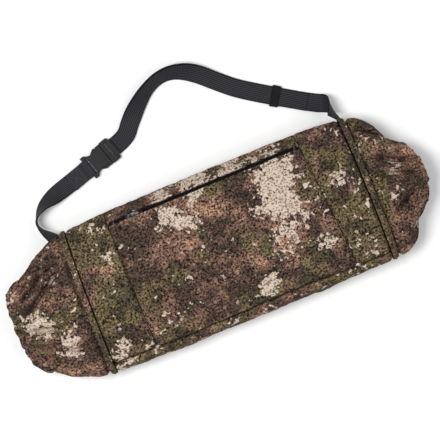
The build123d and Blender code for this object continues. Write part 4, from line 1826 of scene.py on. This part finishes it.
        def band(along: np.ndarray, round_share: np.ndarray) -> np.ndarray:
            """Lies in the middle of the casing's wall."""
            share = 1 - (4.0 + 20.0 * along) / length
            return self.place(share, 2 * np.pi * round_share, 0.5)

        work = shaped_grid((14, 180), band, closed=True)
        piece = finish_mesh(f"elastic_{self.side.word}_band", work)
        thicken(piece, 0.7, 0.0)
        dress(piece, finish)
        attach(piece, Body.MUFF.value)
        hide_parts(f"elastic_{self.side.word}")
        return piece

    def welt_surface(self, around: np.ndarray, round_share: np.ndarray) -> np.ndarray:
        """Points of the welt's skin.

        Args:
            around: goes over the welt from the groove to its outer edge and back under, 0 to 1.
            round_share: goes round the muff, 0 to 1.

        Returns:
            The points, one row each.
        """
        angle = 2 * np.pi * round_share
        turn = 2 * np.pi * around
        half = 0.5 - 0.5 * np.sign(np.cos(turn)) * np.abs(np.cos(turn)) ** 0.7
        high = np.sign(np.sin(turn)) * np.abs(np.sin(turn)) ** 0.6
        across = self.welt_width * half
        lane = sum(self.lane_depth * bell(across - place, 0.9) for place in self.lanes)
        base = self.form.skin(self.form.seam[self.side] + self.side.value * across * MM, angle)
        base[:, 0] += self.seam_line(base[:, 1]) - self.form.seam[self.side]
        pucker = 0.6 * noise_at(base / MM, 6.5, self.seed + 21)
        pucker += 0.3 * noise_at(base / MM, 2.3, self.seed + 22)
        rise = np.where(high > 0, (2.9 - lane + pucker) * high, 2.6 * high)
        out = self.form.outward(angle)
        return rest_on_floor(base + out * (rise * MM)[:, None], 1.6)

    def lane_rows(self) -> list[np.ndarray]:
        """Lines along the welt's two stitched lanes.

        Returns:
            The lines, one point a row, in metres.
        """
        rounds = np.linspace(0.0, 1.0, 700)
        rows = []
        for place in self.lanes:
            level = 1.0 - 2.0 * place / self.welt_width
            turn = math.acos(math.copysign(abs(level) ** (1 / 0.7), level))
            rows.append(self.welt_surface(np.full_like(rounds, turn / (2 * math.pi)), rounds))
        return rows

    def casing_row(self) -> np.ndarray:
        """The line of stitches that closes the elastic's casing.

        Returns:
            The line's points in metres.
        """
        length = abs(self.form.mouth[self.side] - self.form.seam[self.side]) / MM
        rounds = np.linspace(0.0, 2 * np.pi, 700)
        return self.place(np.full_like(rounds, 1 - self.casing / length), rounds, 0.0)

    def build_welt(self, finish: bpy.types.Material) -> bpy.types.Object:
        """Makes the raised, top-stitched seam allowance beside the panel.

        Args:
            finish: its fleece.

        Returns:
            The piece.
        """
        work = shaped_grid((30, 420), self.welt_surface, closed=True)
        piece = finish_mesh(f"welt_{self.side.word}_folded", work)
        dress(piece, finish)
        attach(piece, Body.MUFF.value)
        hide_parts(f"welt_{self.side.word}")
        return piece


# ---------------------------------------------------------------- stitching
@dataclass
class Stitching:
    """Rows of lockstitch: each stitch is a short rounded bar that lies a little in the cloth."""

    name: str
    pitch: float = 3.4
    stitch: float = 2.7
    radius: float = 0.45
    sides: int = 6
    rings: int = 6
    batch: int = 25

    def build(
        self, rows: Sequence[np.ndarray], body: Body, slot: Slot, finish: bpy.types.Material
    ) -> bpy.types.Object:
        """Makes the rows as one piece.

        Args:
            rows: lines on the cloth in metres, one point a row.
            body: what the stitches ride on.
            slot: the record's material slot; not used.
            finish: the thread.

        Returns:
            The piece.
        """
        work = bmesh.new()
        for row in rows:
            bars = self._bars(row)
            for first in range(0, len(bars), self.batch):
                self._sew(work, bars[first : first + self.batch])
        piece = finish_mesh(self.name, work)
        dress(piece, finish)
        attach(piece, body.value)
        return piece

    def _bars(self, row: np.ndarray) -> list[tuple[Vector, Vector]]:
        """Where each stitch of a row starts and ends.

        Args:
            row: the line, one point a row, in metres.

        Returns:
            The start and the end of each stitch.
        """
        runs = np.linalg.norm(np.diff(row, axis=0), axis=1)
        along = np.concatenate([[0.0], np.cumsum(runs)])
        bars = []
        for start in np.arange(0.0, along[-1] - self.stitch * MM, self.pitch * MM):
            ends = [
                Vector([np.interp(far, along, row[:, axis]) for axis in range(3)])
                for far in (start, start + self.stitch * MM)
            ]
            bars.append((ends[0], ends[1]))
        return bars

    def _sew(self, work: bmesh.types.BMesh, bars: Sequence[tuple[Vector, Vector]]) -> None:
        """Adds a few stitches, made apart because a large mesh slows each operator down.

        Args:
            work: the mesh work that gets them.
            bars: each stitch's start and end.
        """
        few = bmesh.new()
        for start, end in bars:
            self._bar(few, start, end)
        sewn = bpy.data.meshes.new(self.name)
        few.to_mesh(sewn)
        few.free()
        work.from_mesh(sewn)
        bpy.data.meshes.remove(sewn)

    def _bar(self, work: bmesh.types.BMesh, start: Vector, end: Vector) -> None:
        """Adds one stitch, thick in the middle and drawn in where it dives into the cloth.

        Args:
            work: the mesh work that gets it.
            start: where it comes out of the cloth.
            end: where it goes back in.
        """
        run = end - start
        size = (self.radius * MM, self.radius * MM, 0.5 * run.length)
        lie = run.to_track_quat("Z", "X").to_matrix().to_4x4()
        bmesh.ops.create_uvsphere(
            work,
            u_segments=self.sides,
            v_segments=self.rings,
            radius=1.0,
            matrix=Matrix.Translation(start + 0.5 * run) @ lie @ Matrix.Diagonal((*size, 1.0)),
        )


def box_stitch_rows(start: float, end: float, half_width: float, z: float) -> list[np.ndarray]:
    """Rows of a box stitch with a cross, on webbing that lies along the buckle.

    Args:
        start: the box's near end in the buckle's frame, in millimetres.
        end: its far end.
        half_width: half its width.
        z: height of the webbing's face.

    Returns:
        The rows, in metres.
    """
    corners = [(start, -half_width), (end, -half_width), (end, half_width), (start, half_width)]
    runs = [(0, 1), (1, 2), (2, 3), (3, 0), (0, 2), (1, 3)]
    rows = []
    for first, second in runs:
        ends = [in_buckle(*corners[number], z) for number in (first, second)]
        rows.append(np.linspace(ends[0], ends[1], 12) * MM)
    return rows


# ---------------------------------------------------------------- lining and pocket bag
@dataclass
class Inside:
    """What lies inside the muff: the tunnel's lining and the pocket's bag."""

    form: MuffForm
    lining_wall: float = 1.8
    bag_inset: float = 3.6

    def build_lining(self, finish: bpy.types.Material) -> bpy.types.Object:
        """Makes the tunnel's soft tube.

        Args:
            finish: the lining fleece.

        Returns:
            The piece.
        """
        form = self.form

        def tube(along: np.ndarray, round_share: np.ndarray) -> np.ndarray:
            """Lines the tunnel from seam to seam.

            Args:
                along: how far along the muff, 0 to 1.
                round_share: how far round the tunnel, 0 to 1.

            Returns:
                The points in metres.
            """
            x = form.seam[Side.LEFT] + along * (form.seam[Side.RIGHT] - form.seam[Side.LEFT])
            angle = 2 * np.pi * round_share
            wave = 0.7 * noise_at(
                np.stack([x / MM, 80 * np.cos(angle), 30 * np.sin(angle)], axis=1), 22.0, 31.0
            )
            size = self.lining_wall * 0.5 * MM + wave * MM
            return np.stack(
                [
                    x,
                    (form.tunnel[0] + size) * np.cos(angle),
                    form.core_z + (form.tunnel[1] + size) * np.sin(angle),
                ],
                axis=1,
            )

        work = shaped_grid((120, 160), tube, closed=True)
        piece = finish_mesh("lining_tube", work)
        thicken(piece, self.lining_wall, 0.0)
        dress(piece, finish)
        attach(piece, Body.MUFF.value)
        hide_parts("lining")
        return piece

    def build_bag(self, finish: bpy.types.Material) -> bpy.types.Object:
        """Makes the pocket's bag, which hangs from the zip behind the pocket's face.

        Args:
            finish: the pocketing.

        Returns:
            The piece.
        """
        form = self.form
        low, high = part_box("pocket_bag")

        def sheet(along: np.ndarray, across: np.ndarray) -> np.ndarray:
            """Follows the pocket panel at a small depth.

            Args:
                along: how far along the pocket, 0 to 1.
                across: how far down from the zip, 0 to 1.

            Returns:
                The points in metres.
            """
            x = low.x + along * (high.x - low.x)
            y = high.y + across * (low.y - high.y)
            angle = form.angle_of(y, x)
            return form.skin(x, angle, self.bag_inset * MM)

        work = shaped_grid((110, 80), sheet)
        piece = finish_mesh("pocket_bag_sewn", work, outward=True)
        thicken(piece, 0.6)
        dress(piece, finish)
        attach(piece, Body.MUFF.value)
        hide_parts("pocket_bag")
        return piece


# ---------------------------------------------------------------- the whole
def in_buckle(x: float, y: float, z: float) -> tuple[float, float, float]:
    """Turns a place in the buckle's own frame, in millimetres, to the muff's."""
    turn = math.radians(BUCKLE_TURN)
    return (
        BUCKLE_PLACE[0] + x * math.cos(turn) - y * math.sin(turn),
        BUCKLE_PLACE[1] + x * math.sin(turn) + y * math.cos(turn),
        z,
    )


@dataclass
class WaistStrap:
    """The waist strap's three free lengths of webbing, and the buckle that they end at."""

    level: float = 2.2
    layer: float = 1.7
    cord_width: float = 25.4 * MM

    def short_route(self) -> list[tuple[float, float, float]]:
        """Route of the short strap, from the buckle to the left seam.

        Returns:
            The route's points in millimetres.
        """
        return [
            in_buckle(-18.0, 0.0, self.level),
            in_buckle(-40.5, 0.0, self.level),
            (-185.0, 151.0, 5.0),
            (-207.0, 142.0, 13.0),
            (-221.0, 126.0, 17.0),
            (-213.0, 109.0, 26.0),
            (-200.0, 90.0, 34.0),
        ]

    def long_route(self) -> list[tuple[float, float, float]]:
        """Route of the long strap, from the buckle to the right seam.

        Returns:
            The route's points in millimetres.
        """
        return [
            in_buckle(30.0, 0.0, self.level),
            in_buckle(46.0, 0.0, self.level),
            (-50.0, 204.5, self.level),
            (-31.0, 223.5, 9.5),
            (-9.0, 240.0, 12.5),
            (14.0, 248.5, 13.0),
            (37.0, 246.5, 11.5),
            (60.0, 234.5, 7.5),
            (86.0, 209.5, 2.6),
            (112.0, 186.8, self.level),
            (197.0, 133.0, self.level),
            (212.0, 127.0, 9.0),
            (216.0, 115.0, 28.5),
            (211.0, 102.4, 36.5),
        ]

    def build(self, webbing: bpy.types.Material) -> None:
        """Args:
            webbing: the straps' finish.
        """
        banks = (0, 0, 15, 62, 100, 144, 165)
        short = Strap("strap_short_webbing", self.short_route(), banks)
        piece, path, length = short.build()
        dress(piece, webbing)
        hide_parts("strap_short")
        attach(piece, Body.MUFF.value)
        log.info("strap_short_webbing is %.1f mm long", length / MM)

        banks = (0, 0, 0, 30, 50, 50, 40, 15, 0, 0, 0, 14, 62, 84)
        long = Strap("strap_long_webbing", self.long_route(), banks)
        piece, path, length = long.build()
        dress(piece, webbing)
        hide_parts("strap_long")
        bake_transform(piece)
        log.info("strap_long_webbing is %.1f mm long", length / MM)
        self.build_return(webbing)

    def build_return(self, webbing: bpy.types.Material) -> None:
        """Makes the layer that comes back from the buckle, lying on the long strap.

        Args:
            webbing: the strap's finish.
        """
        banks = (0, 0, 0, 30, 50, 50, 40, 15, 0, 0, 0)
        under = self.long_route()
        points = []
        for number, bank in enumerate(banks[:-1]):
            here = Vector(under[number])
            run = Vector(under[number + 1]) - Vector(under[max(number - 1, 0)])
            aside = run.cross(Vector((0.0, 0.0, 1.0))).normalized()
            lean = math.radians(bank)
            upward = math.cos(lean) * Vector((0.0, 0.0, 1.0)) + math.sin(lean) * aside
            points.append(tuple(here + self.layer * upward))
        points.append((188.5, 138.4, self.level + self.layer))
        back = Strap("strap_return_webbing", points, banks)
        piece, path, length = back.build()
        dress(piece, webbing)
        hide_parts("strap_return")
        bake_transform(piece)
        log.info("strap_return_webbing is %.1f mm long", length / MM)


def fleece_prints() -> dict[str, bpy.types.Material]:
    """Makes the fleece's finish for each panel and cuff, each from its own place of the cloth.

    Returns:
        The materials by the name of their panel or cuff.
    """
    looks = {
        "panel_front_left": FleecePrint(
            "fleece_print_left",
            (140.0, 30.0, 0.0),
            ((-146.0, 37.0, 20.0), (-176.0, -78.0, 22.0), (-150.0, 92.0, 16.0)),
            olive_bias=0.1,
            pale_bias=-0.08,
        ),
        "panel_front_right": FleecePrint(
            "fleece_print_right",
            (300.0, 210.0, 0.0),
            ((177.0, 18.0, 26.0), (170.0, -62.0, 14.0)),
            olive_bias=0.06,
            pale_bias=-0.055,
        ),
        "panel_pocket": FleecePrint(
            "fleece_print_pocket",
            (0.0, 0.0, 0.0),
            (
                (114.0, 64.0, 48.0), (92.0, 40.0, 50.0), (104.0, 4.0, 44.0), (84.0, -26.0, 34.0),
                (136.0, -48.0, 22.0), (-54.0, 60.0, 32.0), (-26.0, 56.0, 30.0), (44.0, -74.0, 24.0),
                (-92.0, -62.0, 22.0), (-2.0, 84.0, 20.0),
            ),
            olive_bias=-0.02,
            pale_bias=-0.08,
        ),
        "panel_upper_strip": FleecePrint(
            "fleece_print_strip",
            (60.0, 400.0, 0.0),
            ((-48.0, 97.0, 26.0), (5.0, 97.0, 38.0), (58.0, 97.0, 40.0), (104.0, 97.0, 30.0)),
            pale_bias=-0.03,
        ),
        "panel_back": FleecePrint("fleece_print_back", (500.0, -160.0, 90.0), pale_bias=-0.02),
        "cuff_left": FleecePrint(
            "fleece_print_cuff_left",
            (-240.0, 520.0, 40.0),
            ((-264.0, -8.0, 30.0), (-236.0, -50.0, 28.0), (-288.0, 40.0, 22.0)),
            olive_bias=-0.05,
            pale_bias=-0.05,
        ),
        "cuff_right": FleecePrint(
            "fleece_print_cuff_right",
            (410.0, -380.0, 70.0),
            ((256.0, 15.0, 20.0), (236.0, -28.0, 16.0)),
            olive_bias=0.03,
            pale_bias=-0.07,
        ),
    }
    return {name: look.make() for name, look in looks.items()}


LEFT_FOLDS = (
    Fold(((-226.0, 88.0), (-244.0, 76.0), (-253.0, 61.0), (-266.0, 50.0), (-287.0, 38.0)), 8.0, 3.8),
    Fold(
        ((-198.0, 63.0), (-223.0, 60.0), (-240.0, 54.0), (-254.0, 45.0), (-272.0, 36.0), (-288.0, 26.0)),
        12.0, 4.4,
    ),
    Fold(((-202.0, 48.0), (-217.0, 49.0), (-233.0, 40.0), (-253.0, 27.0), (-272.0, 16.0)), 9.0, 3.8),
    Fold(((-206.0, -52.0), (-231.0, -55.0), (-255.0, -40.0), (-276.0, -33.0)), 9.0, 3.8, -1.0),
    Fold(((-210.0, -18.0), (-240.0, -20.0), (-262.0, -14.0), (-286.0, -10.0)), 6.0, 3.6),
    Fold(((-216.0, -80.0), (-246.0, -70.0), (-270.0, -52.0)), 6.5, 3.6),
)
RIGHT_FOLDS = (
    Fold(((225.0, 80.0), (240.0, 71.0), (260.0, 56.0), (276.0, 40.0)), 10.0, 3.8, -1.0),
    Fold(((228.0, 40.0), (244.0, 32.0), (262.0, 20.0), (273.0, 16.0), (292.0, 13.0)), 12.0, 4.2, -1.0),
    Fold(((226.0, 0.0), (243.0, 5.0), (272.0, -3.0), (292.0, -8.0)), 11.0, 4.2, -1.0),
    Fold(((232.0, -56.0), (248.0, -41.0), (261.0, -31.0), (279.0, -26.0), (295.0, -29.0)), 10.0, 4.0),
    Fold(((228.0, -90.0), (246.0, -81.0), (267.0, -67.0), (284.0, -50.0)), 5.0, 3.0),
)


def dress_hardware() -> None:
    """Puts finishes on the frame's own nodes that stay in view."""
    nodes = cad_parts
    plastic = Moulded("acetal_moulded_black").make()
    # On the zinc the pale second colour is a painted highlight as well as wear.
    metal = Moulded(
        "zinc_painted_worn_highlit", "#2b2b30", "#c4c4ca", 0.5, roughness=0.3, grain=0.8, metallic=0.7
    ).make()
    coil = Moulded("nylon_coil_black", "#0c0c0e", "#1b1b1e", roughness=0.5, grain=0.6).make()
    tape = WovenCloth("zip_tape_woven_polyester", "#100e0d", "#221e1b").make()
    folded = Webbing("webbing_woven_folded", source="Object", turn=-BUCKLE_TURN).make()
    for name in ("buckle_female", "buckle_male", "prong_left", "prong_right", "strap_slide"):
        dress(nodes[name], plastic)
    for name in ("zip_slider", "zip_pull", "zip_stop_left", "zip_stop_right"):
        dress(nodes[name], metal)
    for name in ("zip_coil_upper", "zip_coil_lower"):
        dress(nodes[name], coil)
    for name in ("zip_tape_upper", "zip_tape_lower"):
        dress(nodes[name], tape)
    for name in ("strap_short_fold", "strap_long_fold"):
        dress(nodes[name], folded)


def main() -> None:
    """Builds the muff's looks in order and says what was made."""
    logging.basicConfig(level=logging.INFO, format="%(name)s: %(message)s")
    Studio().build()
    form = MuffForm()
    webbing = Webbing().make()
    WaistStrap().build(webbing)
    padding = Padding(form)
    log.info("made %s", padding.build().name)
    prints = fleece_prints()
    shell = Shell(form, padding)
    for piece in shell.build(prints):
        log.info("made %s", piece.name)
    lining = PlainFleece().make()
    elastic = WovenCloth("elastic_knitted_black", "#171514", "#2a2725", 1.4).make()
    rows = shell.zip_rows()
    for side, folds, bulge in ((Side.LEFT, LEFT_FOLDS, 3.0), (Side.RIGHT, RIGHT_FOLDS, 12.0)):
        cuff = Cuff(form, side, folds, shell.cuff_line(side), bulge, seed=11.0 + 20 * side.value)
        log.info("made %s", cuff.build(prints[f"cuff_{side.word}"], lining).name)
        log.info("made %s", cuff.build_elastic(elastic).name)
        log.info("made %s", cuff.build_welt(prints[f"panel_front_{side.word}"]).name)
        rows += [*cuff.lane_rows(), cuff.casing_row()]
    thread = Thread("thread_polyester_brown", "#5a4c3f").make()
    stitches = Stitching("stitches_fleece").build(rows, Body.MUFF, Slot.FLEECE, thread)
    log.info("made %s", stitches.name)
    black = Thread("thread_bonded_black", "#3c3c42").make()
    rows = box_stitch_rows(-33.5, -53.0, 9.8, 4.75)
    stitches = Stitching("stitches_strap").build(rows, Body.MUFF, Slot.WEBBING, black)
    log.info("made %s", stitches.name)
    inside = Inside(form)
    pocketing = WovenCloth("pocketing_plain_weave", "#2a2622", "#3f3932").make()
    log.info("made %s", inside.build_lining(lining).name)
    log.info("made %s", inside.build_bag(pocketing).name)
    dress_hardware()


if __name__ == "__main__":
    main()
